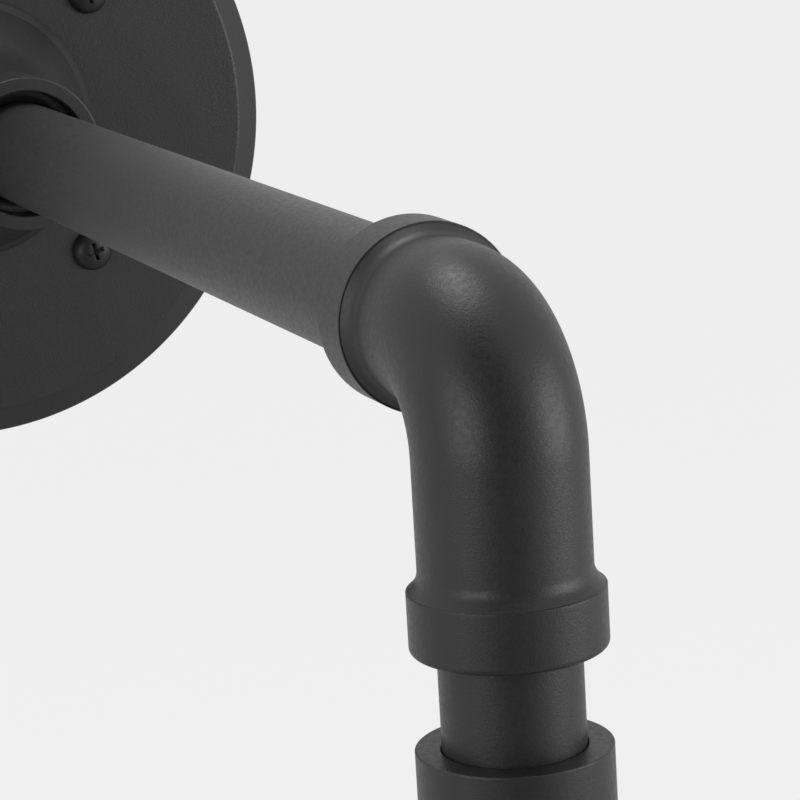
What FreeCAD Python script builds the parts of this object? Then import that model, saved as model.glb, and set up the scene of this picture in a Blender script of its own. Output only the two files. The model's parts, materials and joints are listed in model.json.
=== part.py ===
import FreeCAD, Part
import math
import os

# Industrial pipe wall light: a round wall flange and a flared hub carry a straight pipe arm. A banded
# elbow turns it down into a short drop pipe, a lamp cup and a screw-in filament bulb.
# Millimetres. The wall is the plane y = 0, the light stands out along -Y, and +Z is up. The origin is
# the centre of the wall flange, on the wall.

V = FreeCAD.Vector
OUT = V(0, -1, 0)
DOWN = V(0, 0, -1)
UP = V(0, 0, 1)

# ---- Driving dimensions ----

# Arm
PROJECTION = 256.0          # wall to the axis of the drop pipe
PIPE_OD = 17.2
PIPE_WALL = 1.6
THREAD_GAP = 0.06           # radial play between a pipe and the hole it screws into

# Wall flange
FLANGE_OD = 117.4
FLANGE_DEPTH = 12.0
FLANGE_FACE_WALL = 4.0
FLANGE_RIM_WALL = 4.5
BEVEL_WIDTH = 4.8
BEVEL_DROP = 3.2
BEVEL_ROUND = 1.4
FLANGE_INSIDE_ROUND = 1.0
FLANGE_SCREW_CIRCLE = 68.4
FLANGE_SCREW_COUNT = 4
FLANGE_SCREW_TURN = 41.4    # degrees from +X to the first screw
FLANGE_SCREW_OD = 4.0
FLANGE_SCREW_REACH = 22.0   # past the wall plane
FLANGE_HEAD_OD = 7.6
FLANGE_HEAD_HEIGHT = 2.6
FLANGE_HOLE_GAP = 0.4       # radial, round the screw shank
CROSS_WIDTH_SHARE = 0.3     # width of a cross recess's arms over its reach
WIRE_HOLE_OD = 36.0

# Hub
HUB_LENGTH = 44.3
HUB_FOOT_WIDTH = 6.2        # of the ring that stands on the flange
HUB_FOOT_CHAMFER = 1.4
HUB_BASE_RIM = 2.6
HUB_NECK_WALL = 2.9
HUB_BAND_WALL = 4.6
HUB_BAND_LENGTH = 12.0
HUB_MOUTH_GAP = 2.2         # radial, between the pipe and the ring's open mouth
HUB_MOUTH_DEPTH = 5.0
HUB_WALL = 3.2
HUB_WAIST_OUT = 2.8         # how far the waist of the flare is outside the neck
HUB_WAIST_HEIGHT = 14.5
HUB_FLARE_ROUND = 18.0
HUB_LEDGE_ROUND = 1.1
HUB_HOLLOW_ROUND = 12.0
HUB_PIPE_START = 24.3       # from the hub's foot to the end of the pipe inside it
HUB_SHOULDER = 2.5
HUB_SCREW_COUNT = 3
HUB_SCREW_OD = 3.0
HUB_SCREW_BITE = 1.9        # depth of the screws in the foot
HUB_SCREW_HEAD_OD = 5.6
HUB_SCREW_HEAD_HEIGHT = 2.1
SET_SCREW_OD = 4.0
SET_SCREW_LENGTH = 4.0

# Elbow
ELBOW_WALL = 1.75           # outside the pipe's outer radius
ELBOW_BEND = 13.0           # radius of the centre line
BAND_STEP = 1.45            # how far the bands stand out from the elbow's body
BAND_LENGTH = 7.4
BAND_ROUND = 0.2
BAND_END_ROUND = 0.7
LEDGE_WIDTH = 0.25         # flat part of the ledge, inside a band's edge
SLOPE_LENGTH = 1.5          # from the ledge down to the elbow's body
SLOPE_ROUND = 3.0
ARM_STRAIGHT = 5.9          # elbow body between the bend and the arm's band
DROP_STRAIGHT = 15.7        # elbow body between the bend and the lower band
ELBOW_GRIP = 11.0           # how far a pipe screws in

# Drop pipe and lamp cup
DROP_SHOWING = 12.0
CUP_GRIP = 12.0
CUP_BAND_LENGTH = 9.0
CUP_HOLDER_GAP = 1.0        # radial, round the lampholder
CUP_LENGTH = 64.0           # from the top of its band to its mouth
CUP_WALL = 2.0
CUP_SHOULDER = 12.0
CUP_WEB = 3.0
CUP_SEAT_GAP = 1.0          # between the drop pipe's end and the web
CUP_MOUTH_BEAD = 1.2
CUP_MOUTH_HEIGHT = 4.0
CUP_SHOULDER_ROUND = 4.0

# Lampholder
NIPPLE_OD = 10.0
NIPPLE_WALL = 1.2
NIPPLE_SHOWING = 3.0        # above the cup's web
NUT_FLATS = 15.0
NUT_HEIGHT = 3.0
HOLDER_CAP_HEIGHT = 12.0
HOLDER_BOSS = 5.4           # depth of the threaded boss in the cap
HOLDER_BOSS_WALL = 2.2
HOLDER_WALL = 2.2
HOLDER_SKIRT_WALL = 3.15
HOLDER_BODY_HEIGHT = 31.0
HOLDER_FLOOR = 5.0
SHELL_WALL = 0.4
SHELL_GAP = 0.3             # radial, round the bulb's cap
SHELL_PLAY = 0.05           # radial, between the shell and the skirt
SHELL_FLOOR = 0.6
SHELL_SHORT = 3.0           # how far the shell stops inside the skirt
RIVET_OD = 4.4
CONTACT_WIDTH = 6.0
CONTACT_THICKNESS = 0.6
CONTACT_GAP = 0.3           # contact to the bulb's tip
TERMINAL_OD = 4.0
TERMINAL_RISE = 3.4         # above the holder's floor
TERMINAL_INSET = 1.0        # towards the axis, from halfway out
TERMINAL_SEAT = 0.2         # material left under each terminal

# Bulb
CAP_OD = 26.2
CAP_LENGTH = 20.0
CAP_WALL = 0.4
THREAD_PITCH = 3.63
THREAD_DEPTH = 0.75
CAP_SKIRT = 5.0             # plain part of the cap, next to the glass
INSULATOR_HEIGHT = 3.5
TIP_OD = 9.0
TIP_HEIGHT = 1.6
NECK_GAP = 0.05             # radial, between the glass neck and the cap's thread root
NECK_INSIDE = 4.0
NECK_SHOWING = 3.0
GLASS_OD = 64.0
GLASS_LENGTH = 116.0        # cap's edge to the bottom of the glass
GLASS_WALL = 0.9
STEM_OD = 7.0
STEM_LENGTH = 42.0
STEM_TIP_OD = 3.2
FILAMENT_COUNT = 6
FILAMENT_OD = 2.0
FILAMENT_LENGTH = 38.0
FILAMENT_TOP_SPREAD = 6.0   # radius of the ring that the filaments' tops stand on
FILAMENT_FOOT_SPREAD = 12.0
SUPPORT_OD = 0.6
STAR_HUB_OD = 3.0            # where the wires at the filaments' feet meet

# Wiring
LEAD_OD = 2.2
LEAD_APART = 4.0
BLOCK_POLE = 8.0            # width of one pole of the terminal block
BLOCK_POLES = 3
BLOCK_DEPTH = 13.0
BLOCK_HEIGHT = 16.0
BLOCK_HOLE_GAP = 0.4
BRACKET_WIDTH = 14.0
BRACKET_THICKNESS = 1.5
BRACKET_PAD = 7.0           # length of each foot on the flange
BRACKET_SCREW_OD = 4.4
BRACKET_SCREW_HEIGHT = 1.6
CLAMP_SCREW_OD = 4.4
CLAMP_SCREW_GAP = 0.1
EARTH_SCREW_OD = 4.0
EARTH_WASHER_HEIGHT = 1.0
BUSH_LIP = 1.2
BUSH_RING = 1.2             # how far the hub's seat for the bush is wider than the bore
BUSH_WALL = 1.4
BUSH_SLEEVE = 5.0           # how far the bush reaches into the pipe

# ---- Places worked out from them ----

PIPE_R = PIPE_OD / 2
BORE_R = PIPE_R - PIPE_WALL
GRIP_R = PIPE_R + THREAD_GAP
ELBOW_R = PIPE_R + ELBOW_WALL
BAND_R = ELBOW_R + BAND_STEP
WIRE_HOLE_R = WIRE_HOLE_OD / 2
HUB_BASE_R = WIRE_HOLE_R + HUB_FOOT_WIDTH
HUB_NECK_R = PIPE_R + HUB_NECK_WALL
HUB_BAND_R = PIPE_R + HUB_BAND_WALL
FLANGE_BACK = FLANGE_DEPTH - FLANGE_FACE_WALL
DROP_Y = -PROJECTION
FACE_Y = -FLANGE_DEPTH
HUB_FRONT_Y = FACE_Y - HUB_LENGTH
PIPE_BACK_Y = FACE_Y - HUB_PIPE_START
BEND_Y = DROP_Y + ELBOW_BEND
ARM_BAND_FRONT_Y = BEND_Y + ARM_STRAIGHT
ARM_BAND_BACK_Y = ARM_BAND_FRONT_Y + BAND_LENGTH
PIPE_FRONT_Y = ARM_BAND_BACK_Y - ELBOW_GRIP
LOW_BAND_TOP_Z = -ELBOW_BEND - DROP_STRAIGHT
LOW_BAND_END_Z = LOW_BAND_TOP_Z - BAND_LENGTH
DROP_TOP_Z = LOW_BAND_END_Z + ELBOW_GRIP
CUP_TOP_Z = LOW_BAND_END_Z - DROP_SHOWING
DROP_END_Z = CUP_TOP_Z - CUP_GRIP
WEB_TOP_Z = DROP_END_Z - CUP_SEAT_GAP
WEB_END_Z = WEB_TOP_Z - CUP_WEB
HOLDER_TOP_Z = WEB_END_Z - NUT_HEIGHT
HOLDER_JOIN_Z = HOLDER_TOP_Z - HOLDER_CAP_HEIGHT
CONTACT_Z = HOLDER_JOIN_Z - HOLDER_FLOOR
TIP_TOP_Z = CONTACT_Z - CONTACT_THICKNESS - CONTACT_GAP
INSULATOR_TOP_Z = TIP_TOP_Z - TIP_HEIGHT
CAP_TOP_Z = INSULATOR_TOP_Z - INSULATOR_HEIGHT
CAP_END_Z = CAP_TOP_Z - CAP_LENGTH
CAP_R = CAP_OD / 2
SHELL_IN_R = CAP_R + SHELL_GAP
SHELL_OUT_R = SHELL_IN_R + SHELL_WALL
HOLDER_R = SHELL_OUT_R + SHELL_PLAY + HOLDER_SKIRT_WALL
CUP_R = HOLDER_R + CUP_HOLDER_GAP + CUP_WALL
ROOT_R = CAP_R - THREAD_DEPTH
NECK_R = ROOT_R - NECK_GAP
LEAD_R = LEAD_OD / 2
CLAMP_DEPTH = BLOCK_DEPTH / 2 - LEAD_OD


# ---- Making shapes ----

def corner_arc(before, corner, after, radius):
    """The arc of that radius that rounds a corner: its start, middle and end."""
    a = (before - corner).normalize()
    b = (after - corner).normalize()
    half = a.getAngle(b) / 2
    run = radius / math.tan(half)
    centre = corner + (a + b).normalize() * (radius / math.sin(half))
    middle = centre + (corner - centre).normalize() * radius
    return corner + a * run, middle, corner + b * run


def rounded_edges(points, radii, closed):
    """Lines between the points, with an arc at each corner whose radius isn't 0."""
    count = len(points)
    edges = []
    starts = []
    for i, point in enumerate(points):
        inside = closed or 0 < i < count - 1
        if inside and radii[i] > 0:
            starts.append(corner_arc(points[i - 1], point, points[(i + 1) % count], radii[i]))
        else:
            starts.append((point, None, point))
    for i, (arrive, middle, leave) in enumerate(starts):
        if middle is not None:
            edges.append(Part.Arc(arrive, middle, leave).toShape())
        if closed or i < count - 1:
            following = starts[(i + 1) % count][0]
            if (following - leave).Length > 1e-6:
                edges.append(Part.LineSegment(leave, following).toShape())
    return edges


def place(shape, base, direction):
    """Turns a shape made along +Z to another direction and moves it to its base."""
    shape.Placement = FreeCAD.Placement(base, FreeCAD.Rotation(UP, direction))
    return shape


def turned(profile, base, direction):
    """A turned solid. The profile is (radius, distance along the axis, corner radius)."""
    points = [V(r, 0, d) for r, d, _ in profile]
    edges = rounded_edges(points, [c for _, _, c in profile], True)
    face = Part.Face(Part.Wire(edges))
    return place(face.revolve(V(0, 0, 0), UP, 360), base, direction)


def tube(outer, inner, length, base, direction):
    """A plain tube, or a rod if its inner radius is 0."""
    body = Part.makeCylinder(outer, length, base, direction)
    if inner > 0:
        body = body.cut(Part.makeCylinder(inner, length, base, direction))
    return body


def box(size, centre):
    """A box by its size and centre."""
    return Part.makeBox(size.x, size.y, size.z, centre - size * 0.5)


def swept(points, radii, section_radius):
    """A round lead along a rounded path."""
    path = Part.Wire(rounded_edges(points, radii, False))
    start = (points[1] - points[0]).normalize()
    ring = Part.Wire(Part.makeCircle(section_radius, points[0], start))
    return path.makePipeShell([ring], True, False)


def on_circle(radius, count, turn):
    """Points round the Y axis, at y = 0, starting at an angle in degrees."""
    places = []
    for i in range(count):
        angle = math.radians(turn + 360.0 * i / count)
        places.append(V(radius * math.cos(angle), 0, radius * math.sin(angle)))
    return places


def hexagon(flats, height, base, direction):
    """A six-sided prism."""
    corner = flats / 2 / math.cos(math.pi / 6)
    ring = [V(corner * math.cos(k * math.pi / 3), corner * math.sin(k * math.pi / 3), 0) for k in range(7)]
    prism = Part.Face(Part.makePolygon(ring)).extrude(V(0, 0, height))
    return place(prism, base, direction)


def quarter_bend(radius):
    """The round core of the elbow's bend, from the arm's axis down to the drop pipe's axis."""
    disc = Part.Face(Part.Wire(Part.makeCircle(radius, V(0, BEND_Y, 0), V(0, 1, 0))))
    return disc.revolve(V(0, BEND_Y, -ELBOW_BEND), V(1, 0, 0), 90)


def slot_cut(width, depth, length, base, direction):
    """A screwdriver slot across a head whose top is at base, facing along the direction."""
    blade = Part.makeBox(length, width, depth, V(-length / 2, -width / 2, -depth))
    return place(blade, base, direction)


def cross_cut(reach, depth, base, direction):
    """A cross-shaped screwdriver recess."""
    width = reach * CROSS_WIDTH_SHARE
    first = Part.makeBox(reach, width, depth, V(-reach / 2, -width / 2, -depth))
    second = Part.makeBox(width, reach, depth, V(-width / 2, -reach / 2, -depth))
    return place(first.fuse(second), base, direction)


# ---- Wall side ----

def wall_flange():
    """The round dished flange, its bevelled rim, its wire hole and its screw holes."""
    rim = FLANGE_OD / 2
    inside = rim - FLANGE_RIM_WALL
    profile = [
        (WIRE_HOLE_R, FLANGE_BACK, 0),
        (WIRE_HOLE_R, FLANGE_DEPTH, 0),
        (rim - BEVEL_WIDTH, FLANGE_DEPTH, BEVEL_ROUND),
        (rim, FLANGE_DEPTH - BEVEL_DROP, BEVEL_ROUND),
        (rim, 0, 0),
        (inside, 0, 0),
        (inside, FLANGE_BACK, FLANGE_INSIDE_ROUND),
    ]
    body = turned(profile, V(0, 0, 0), OUT)
    shank_hole = FLANGE_SCREW_OD / 2 + FLANGE_HOLE_GAP
    for spot in on_circle(FLANGE_SCREW_CIRCLE / 2, FLANGE_SCREW_COUNT, FLANGE_SCREW_TURN):
        body = body.cut(Part.makeCylinder(shank_hole, FLANGE_DEPTH, spot, OUT))
    for spot in on_circle(hub_screw_circle(), HUB_SCREW_COUNT, 90):
        body = body.cut(Part.makeCylinder(HUB_SCREW_OD / 2 + THREAD_GAP, FLANGE_DEPTH, spot, OUT))
    earth = earth_screw_place()
    body = body.cut(Part.makeCylinder(EARTH_SCREW_OD / 2 + THREAD_GAP, FLANGE_FACE_WALL / 2, earth, OUT))
    return body


def hub_screw_circle():
    """Radius of the circle of screws that hold the hub, in the middle of the hub's base."""
    return (WIRE_HOLE_R + HUB_BASE_R) / 2


def earth_screw_place():
    """Where the earth screw stands on the back of the flange's face."""
    return V(0, -FLANGE_BACK, -(HUB_BASE_R + EARTH_SCREW_OD * 2))


def flange_screws():
    """Pan-head screws that fix the flange to the wall."""
    solids = []
    seat = FLANGE_DEPTH
    for spot in on_circle(FLANGE_SCREW_CIRCLE / 2, FLANGE_SCREW_COUNT, FLANGE_SCREW_TURN):
        head = FLANGE_HEAD_OD / 2
        shank = FLANGE_SCREW_OD / 2
        profile = [
            (0, -FLANGE_SCREW_REACH, 0),
            (shank * 0.2, -FLANGE_SCREW_REACH, 0),
            (shank, -FLANGE_SCREW_REACH + 2 * shank, 0),
            (shank, seat, 0),
            (head, seat, 0),
            (head, seat + FLANGE_HEAD_HEIGHT, FLANGE_HEAD_HEIGHT * 0.6),
            (0, seat + FLANGE_HEAD_HEIGHT, 0),
        ]
        screw = turned(profile, spot, OUT)
        top = spot + OUT * (seat + FLANGE_HEAD_HEIGHT)
        solids.append(screw.cut(cross_cut(FLANGE_HEAD_OD * 0.6, FLANGE_HEAD_HEIGHT * 0.6, top, OUT)))
    return Part.makeCompound(solids)


def flange_hub():
    """The hollow flared hub, from its base on the flange to the band that grips the pipe."""
    band_start = HUB_LENGTH - HUB_BAND_LENGTH
    waist_r = HUB_NECK_R + HUB_WAIST_OUT
    shoulder = HUB_PIPE_START - HUB_SHOULDER
    mouth = HUB_LENGTH - HUB_MOUTH_DEPTH
    profile = [
        (GRIP_R, HUB_PIPE_START, 0),
        (GRIP_R, mouth, 0),
        (PIPE_R + HUB_MOUTH_GAP, mouth, 0),
        (PIPE_R + HUB_MOUTH_GAP, HUB_LENGTH, BAND_ROUND),
        (HUB_BAND_R, HUB_LENGTH, BAND_ROUND),
        (HUB_BAND_R, band_start, BAND_ROUND),
        (HUB_NECK_R, band_start, HUB_LEDGE_ROUND),
        (waist_r, HUB_WAIST_HEIGHT, HUB_FLARE_ROUND),
        (HUB_BASE_R - HUB_FOOT_CHAMFER, HUB_BASE_RIM, 0),
        (HUB_BASE_R, HUB_BASE_RIM / 2, 0),
        (HUB_BASE_R, 0, 0),
        (WIRE_HOLE_R, 0, 0),
        (waist_r - HUB_WALL, HUB_WAIST_HEIGHT, HUB_HOLLOW_ROUND),
        (BORE_R + BUSH_RING, shoulder - BUSH_LIP, 0),
        (BORE_R + BUSH_RING, shoulder, 0),
        (BORE_R, shoulder, 0),
        (BORE_R, HUB_PIPE_START, 0),
    ]
    body = turned(profile, V(0, FACE_Y, 0), OUT)
    for spot in on_circle(hub_screw_circle(), HUB_SCREW_COUNT, 90):
        start = V(spot.x, FACE_Y, spot.z)
        body = body.cut(Part.makeCylinder(HUB_SCREW_OD / 2 + THREAD_GAP, HUB_SCREW_BITE, start, OUT))
    hole = Part.makeCylinder(SET_SCREW_OD / 2 + THREAD_GAP, HUB_BAND_R, set_screw_axis(), DOWN)
    return body.cut(hole)


def set_screw_axis():
    """A point on the pipe's axis above the hub's set screw, midway in the gripping part of the band."""
    return V(0, HUB_FRONT_Y + (HUB_MOUTH_DEPTH + HUB_BAND_LENGTH) / 2, 0)


def hub_screws():
    """Screws through the flange into the hub's foot, put in from behind."""
    solids = []
    shank = HUB_SCREW_OD / 2
    head = HUB_SCREW_HEAD_OD / 2
    end = FLANGE_DEPTH + HUB_SCREW_BITE - THREAD_GAP
    head_top = FLANGE_BACK - HUB_SCREW_HEAD_HEIGHT
    for spot in on_circle(hub_screw_circle(), HUB_SCREW_COUNT, 90):
        profile = [
            (0, end, 0),
            (shank, end, 0),
            (shank, FLANGE_BACK, 0),
            (head, FLANGE_BACK, 0),
            (head, head_top, HUB_SCREW_HEAD_HEIGHT / 2),
            (0, head_top, 0),
        ]
        screw = turned(profile, spot, OUT)
        recess = cross_cut(HUB_SCREW_OD, HUB_SCREW_HEAD_HEIGHT / 2, spot + OUT * head_top, OUT * -1)
        solids.append(screw.cut(recess))
    return Part.makeCompound(solids)


def hub_set_screw():
    """The grub screw under the hub's band that locks the pipe."""
    top = set_screw_axis() + DOWN * PIPE_R
    screw = Part.makeCylinder(SET_SCREW_OD / 2, SET_SCREW_LENGTH, top, DOWN)
    socket = hexagon(SET_SCREW_OD / 2, SET_SCREW_LENGTH / 2, top + DOWN * (SET_SCREW_LENGTH / 2), DOWN)
    return screw.cut(socket)


def pipe_bush():
    """The plastic bush that keeps the leads off the pipe's cut end."""
    sleeve = HUB_SHOULDER + BUSH_SLEEVE
    profile = [
        (BORE_R - BUSH_WALL, -BUSH_LIP, 0),
        (BORE_R + BUSH_RING * 0.75, -BUSH_LIP, 0.4),
        (BORE_R + BUSH_RING * 0.75, 0, 0),
        (BORE_R - THREAD_GAP, 0, 0),
        (BORE_R - THREAD_GAP, sleeve, 0),
        (BORE_R - BUSH_WALL, sleeve, 0),
    ]
    seat = V(0, PIPE_BACK_Y + HUB_SHOULDER, 0)
    return turned(profile, seat, OUT)


def bracket_reach():
    """Length of the bracket's bar between the outsides of its legs."""
    return WIRE_HOLE_OD + 2 * BRACKET_WIDTH


def terminal_bracket():
    """The flat steel bar across the flange's back that carries the terminal block."""
    thick = BRACKET_THICKNESS
    reach = bracket_reach()
    bar = box(V(reach, thick, BRACKET_WIDTH), V(0, block_back_y() + thick / 2, 0))
    for side in (-1, 1):
        leg = V(side * (reach - thick) / 2, -(FLANGE_BACK + thick) / 2, 0)
        pad = V(side * (reach + BRACKET_PAD) / 2, -FLANGE_BACK + thick / 2, 0)
        bar = bar.fuse(box(V(thick, FLANGE_BACK - thick, BRACKET_WIDTH), leg))
        bar = bar.fuse(box(V(BRACKET_PAD, thick, BRACKET_WIDTH), pad))
    return bar.removeSplitter()


def block_hole_z(row):
    """Height of an upper (1) or lower (-1) clamp screw of the terminal block."""
    return row * BLOCK_HEIGHT / 4


def block_pole_x(pole):
    """Across position of a pole of the terminal block."""
    return (pole - (BLOCK_POLES - 1) / 2) * BLOCK_POLE


def block_back_y():
    """The terminal block's back, on the bracket's bar."""
    return -BRACKET_THICKNESS * 2


def terminal_block():
    """The block that the supply leads and the lamp's leads meet in."""
    width = BLOCK_POLE * BLOCK_POLES
    back = block_back_y()
    clamp_hole = CLAMP_SCREW_OD / 2 + CLAMP_SCREW_GAP
    body = box(V(width, BLOCK_DEPTH, BLOCK_HEIGHT), V(0, back - BLOCK_DEPTH / 2, 0))
    for pole in range(BLOCK_POLES):
        x = block_pole_x(pole)
        top = V(x, block_lead_y(), BLOCK_HEIGHT / 2)
        body = body.cut(Part.makeCylinder(LEAD_R + BLOCK_HOLE_GAP, BLOCK_HEIGHT, top, DOWN))
        for row in (-1, 1):
            top = V(x, back - BLOCK_DEPTH, block_hole_z(row))
            body = body.cut(Part.makeCylinder(clamp_hole, CLAMP_DEPTH, top, OUT * -1))
    for pole in range(BLOCK_POLES - 1):
        x = block_pole_x(pole) + BLOCK_POLE / 2
        groove = box(V(1.0, BLOCK_DEPTH / 3, BLOCK_HEIGHT), V(x, back - BLOCK_DEPTH * 5 / 6, 0))
        body = body.cut(groove)
    return body


def block_lead_y():
    """Depth at which the leads enter the terminal block."""
    return block_back_y() - BLOCK_DEPTH / 2 + LEAD_R


def terminal_screws():
    """The clamp screws of the terminal block."""
    solids = []
    height = CLAMP_DEPTH * 0.7
    for pole in range(BLOCK_POLES):
        for row in (-1, 1):
            top = V(block_pole_x(pole), block_back_y() - BLOCK_DEPTH, block_hole_z(row))
            seat = top + OUT * -CLAMP_DEPTH
            screw = Part.makeCylinder(CLAMP_SCREW_OD / 2, height, seat, OUT)
            solids.append(screw.cut(slot_cut(0.6, 0.8, CLAMP_SCREW_OD, seat + OUT * height, OUT)))
    return Part.makeCompound(solids)


def bracket_screws():
    """Two screws that hold the bracket's feet to the flange."""
    solids = []
    radius = BRACKET_SCREW_OD / 2
    height = BRACKET_SCREW_HEIGHT
    for side in (-1, 1):
        seat = V(side * (bracket_reach() + BRACKET_PAD) / 2, -FLANGE_BACK + BRACKET_THICKNESS, 0)
        profile = [(0, 0, 0), (radius, 0, 0), (radius, height, height / 2), (0, height, 0)]
        head = turned(profile, seat, OUT * -1)
        solids.append(head.cut(cross_cut(radius * 1.4, height / 2, seat + OUT * -height, OUT * -1)))
    return Part.makeCompound(solids)


def earth_screw():
    """The earth screw and its washer on the back of the flange's face."""
    seat = earth_screw_place()
    radius = EARTH_SCREW_OD / 2
    end = FLANGE_FACE_WALL / 2 - THREAD_GAP
    head_top = -EARTH_WASHER_HEIGHT - radius * 1.2
    profile = [
        (0, end, 0),
        (radius, end, 0),
        (radius, -EARTH_WASHER_HEIGHT, 0),
        (radius * 2, -EARTH_WASHER_HEIGHT, 0),
        (radius * 2, head_top, radius * 0.5),
        (0, head_top, 0),
    ]
    screw = turned(profile, seat, OUT)
    top = seat + OUT * head_top
    return screw.cut(slot_cut(0.8, radius * 0.6, radius * 4, top, OUT * -1))


def earth_washer():
    """The cupped washer under the earth screw's head."""
    radius = EARTH_SCREW_OD / 2
    return tube(radius * 2.3, radius + THREAD_GAP, EARTH_WASHER_HEIGHT, earth_screw_place(), OUT * -1)


# ---- Arm ----

def arm_pipe():
    """The straight pipe between the hub and the elbow."""
    length = PIPE_BACK_Y - PIPE_FRONT_Y
    return pipe_piece(length, V(0, PIPE_BACK_Y, 0), OUT)


def pipe_piece(length, base, direction):
    """A length of pipe with its ends just broken."""
    profile = [
        (BORE_R, 0, 0.3),
        (PIPE_R, 0, 0.3),
        (PIPE_R, length, 0.3),
        (BORE_R, length, 0.3),
    ]
    return turned(profile, base, direction)


def elbow_band(base, direction):
    """One band, its ledge and the hollow slope down to the elbow's body. The base is the ledge."""
    profile = [
        (BORE_R, -SLOPE_LENGTH * 2, 0),
        (ELBOW_R, -SLOPE_LENGTH * 2, 0),
        (ELBOW_R, -SLOPE_LENGTH, SLOPE_ROUND),
        (BAND_R - LEDGE_WIDTH, 0, 0),
        (BAND_R, 0, BAND_ROUND),
        (BAND_R, BAND_LENGTH, BAND_END_ROUND),
        (BORE_R, BAND_LENGTH, 0),
    ]
    return turned(profile, base, direction)


def elbow():
    """The cast elbow: a tight bend between two bands, bored for the leads and the pipes."""
    outer = quarter_bend(ELBOW_R)
    outer = outer.fuse(Part.makeCylinder(ELBOW_R, ARM_STRAIGHT, V(0, BEND_Y, 0), OUT * -1))
    outer = outer.fuse(Part.makeCylinder(ELBOW_R, DROP_STRAIGHT, V(0, DROP_Y, -ELBOW_BEND), DOWN))
    outer = outer.fuse(elbow_band(V(0, ARM_BAND_FRONT_Y, 0), OUT * -1))
    outer = outer.fuse(elbow_band(V(0, DROP_Y, LOW_BAND_TOP_Z), DOWN))
    bore = quarter_bend(BORE_R)
    bore = bore.fuse(Part.makeCylinder(BORE_R, ARM_STRAIGHT + BAND_LENGTH, V(0, BEND_Y, 0), OUT * -1))
    bore = bore.fuse(Part.makeCylinder(BORE_R, DROP_STRAIGHT + BAND_LENGTH, V(0, DROP_Y, -ELBOW_BEND), DOWN))
    bore = bore.fuse(Part.makeCylinder(GRIP_R, ELBOW_GRIP, V(0, PIPE_FRONT_Y, 0), OUT * -1))
    bore = bore.fuse(Part.makeCylinder(GRIP_R, ELBOW_GRIP, V(0, DROP_Y, DROP_TOP_Z), DOWN))
    return outer.cut(bore).removeSplitter()


def drop_pipe():
    """The short pipe between the elbow and the lamp cup."""
    return pipe_piece(DROP_TOP_Z - DROP_END_Z, V(0, DROP_Y, DROP_TOP_Z), DOWN)


# ---- Lamp cup and lampholder ----

def at_drop(z):
    """A point on the drop pipe's axis."""
    return V(0, DROP_Y, z)


def lamp_cup():
    """The turned cup: a banded neck on the drop pipe, a sloping shoulder and an open mouth."""
    web_top = CUP_TOP_Z - WEB_TOP_Z
    web_end = CUP_TOP_Z - WEB_END_Z
    shoulder_end = CUP_BAND_LENGTH + CUP_SHOULDER
    mouth = CUP_LENGTH - CUP_MOUTH_HEIGHT
    profile = [
        (GRIP_R, 0, 0),
        (BAND_R, 0, BAND_ROUND),
        (BAND_R, CUP_BAND_LENGTH, BAND_END_ROUND),
        (CUP_R, shoulder_end, CUP_SHOULDER_ROUND),
        (CUP_R, mouth, 0),
        (CUP_R + CUP_MOUTH_BEAD, mouth, BAND_ROUND),
        (CUP_R + CUP_MOUTH_BEAD, CUP_LENGTH, CUP_MOUTH_BEAD / 2),
        (CUP_R - CUP_WALL, CUP_LENGTH, BAND_ROUND),
        (CUP_R - CUP_WALL, max(shoulder_end, web_end) + CUP_WALL, CUP_WALL / 2),
        (BAND_R + CUP_WALL, web_end, 0),
        (NIPPLE_OD / 2 + THREAD_GAP, web_end, 0),
        (NIPPLE_OD / 2 + THREAD_GAP, web_top, 0),
        (GRIP_R, web_top, 0),
    ]
    return turned(profile, at_drop(CUP_TOP_Z), DOWN)


def cup_nipple():
    """The hollow threaded nipple through the cup's web."""
    top = WEB_TOP_Z + NIPPLE_SHOWING
    end = HOLDER_TOP_Z - HOLDER_BOSS
    return tube(NIPPLE_OD / 2, NIPPLE_OD / 2 - NIPPLE_WALL, top - end, at_drop(top), DOWN)


def cup_locknut():
    """The nut that locks the nipple under the web."""
    nut = hexagon(NUT_FLATS, NUT_HEIGHT, at_drop(WEB_END_Z), DOWN)
    return nut.cut(Part.makeCylinder(NIPPLE_OD / 2 + THREAD_GAP, NUT_HEIGHT, at_drop(WEB_END_Z), DOWN))


def holder_cap():
    """The lampholder's upper half, a cap screwed on the nipple."""
    outer = HOLDER_R
    boss = NIPPLE_OD / 2 + THREAD_GAP
    height = HOLDER_CAP_HEIGHT
    profile = [
        (boss, 0, 0),
        (boss + 3.5, 0, 0.5),
        (outer, height * 0.55, 3.0),
        (outer, height, 0),
        (outer - HOLDER_WALL, height, 0),
        (outer - HOLDER_WALL, height * 0.65, 1.5),
        (boss + HOLDER_BOSS_WALL, HOLDER_BOSS, 0),
        (boss, HOLDER_BOSS, 0),
    ]
    return turned(profile, at_drop(HOLDER_TOP_Z), DOWN)


def holder_body():
    """The lampholder's lower half: the floor that carries the contacts, and the skirt."""
    profile = [
        (RIVET_OD / 2, 0, 0),
        (HOLDER_R, 0, 0),
        (HOLDER_R, HOLDER_BODY_HEIGHT, 0.8),
        (SHELL_OUT_R + SHELL_PLAY, HOLDER_BODY_HEIGHT, 0.6),
        (SHELL_OUT_R + SHELL_PLAY, HOLDER_FLOOR, 0),
        (RIVET_OD / 2, HOLDER_FLOOR, 0),
    ]
    body = turned(profile, at_drop(HOLDER_JOIN_Z), DOWN)
    for x in (-1, 1):
        post = V(x * terminal_x(), DROP_Y, HOLDER_JOIN_Z)
        body = body.cut(Part.makeCylinder(TERMINAL_OD / 2 + THREAD_GAP, HOLDER_FLOOR, post, DOWN))
    return body


def terminal_x():
    """How far each lampholder terminal is from the axis."""
    return HOLDER_R / 2 - TERMINAL_INSET


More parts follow.
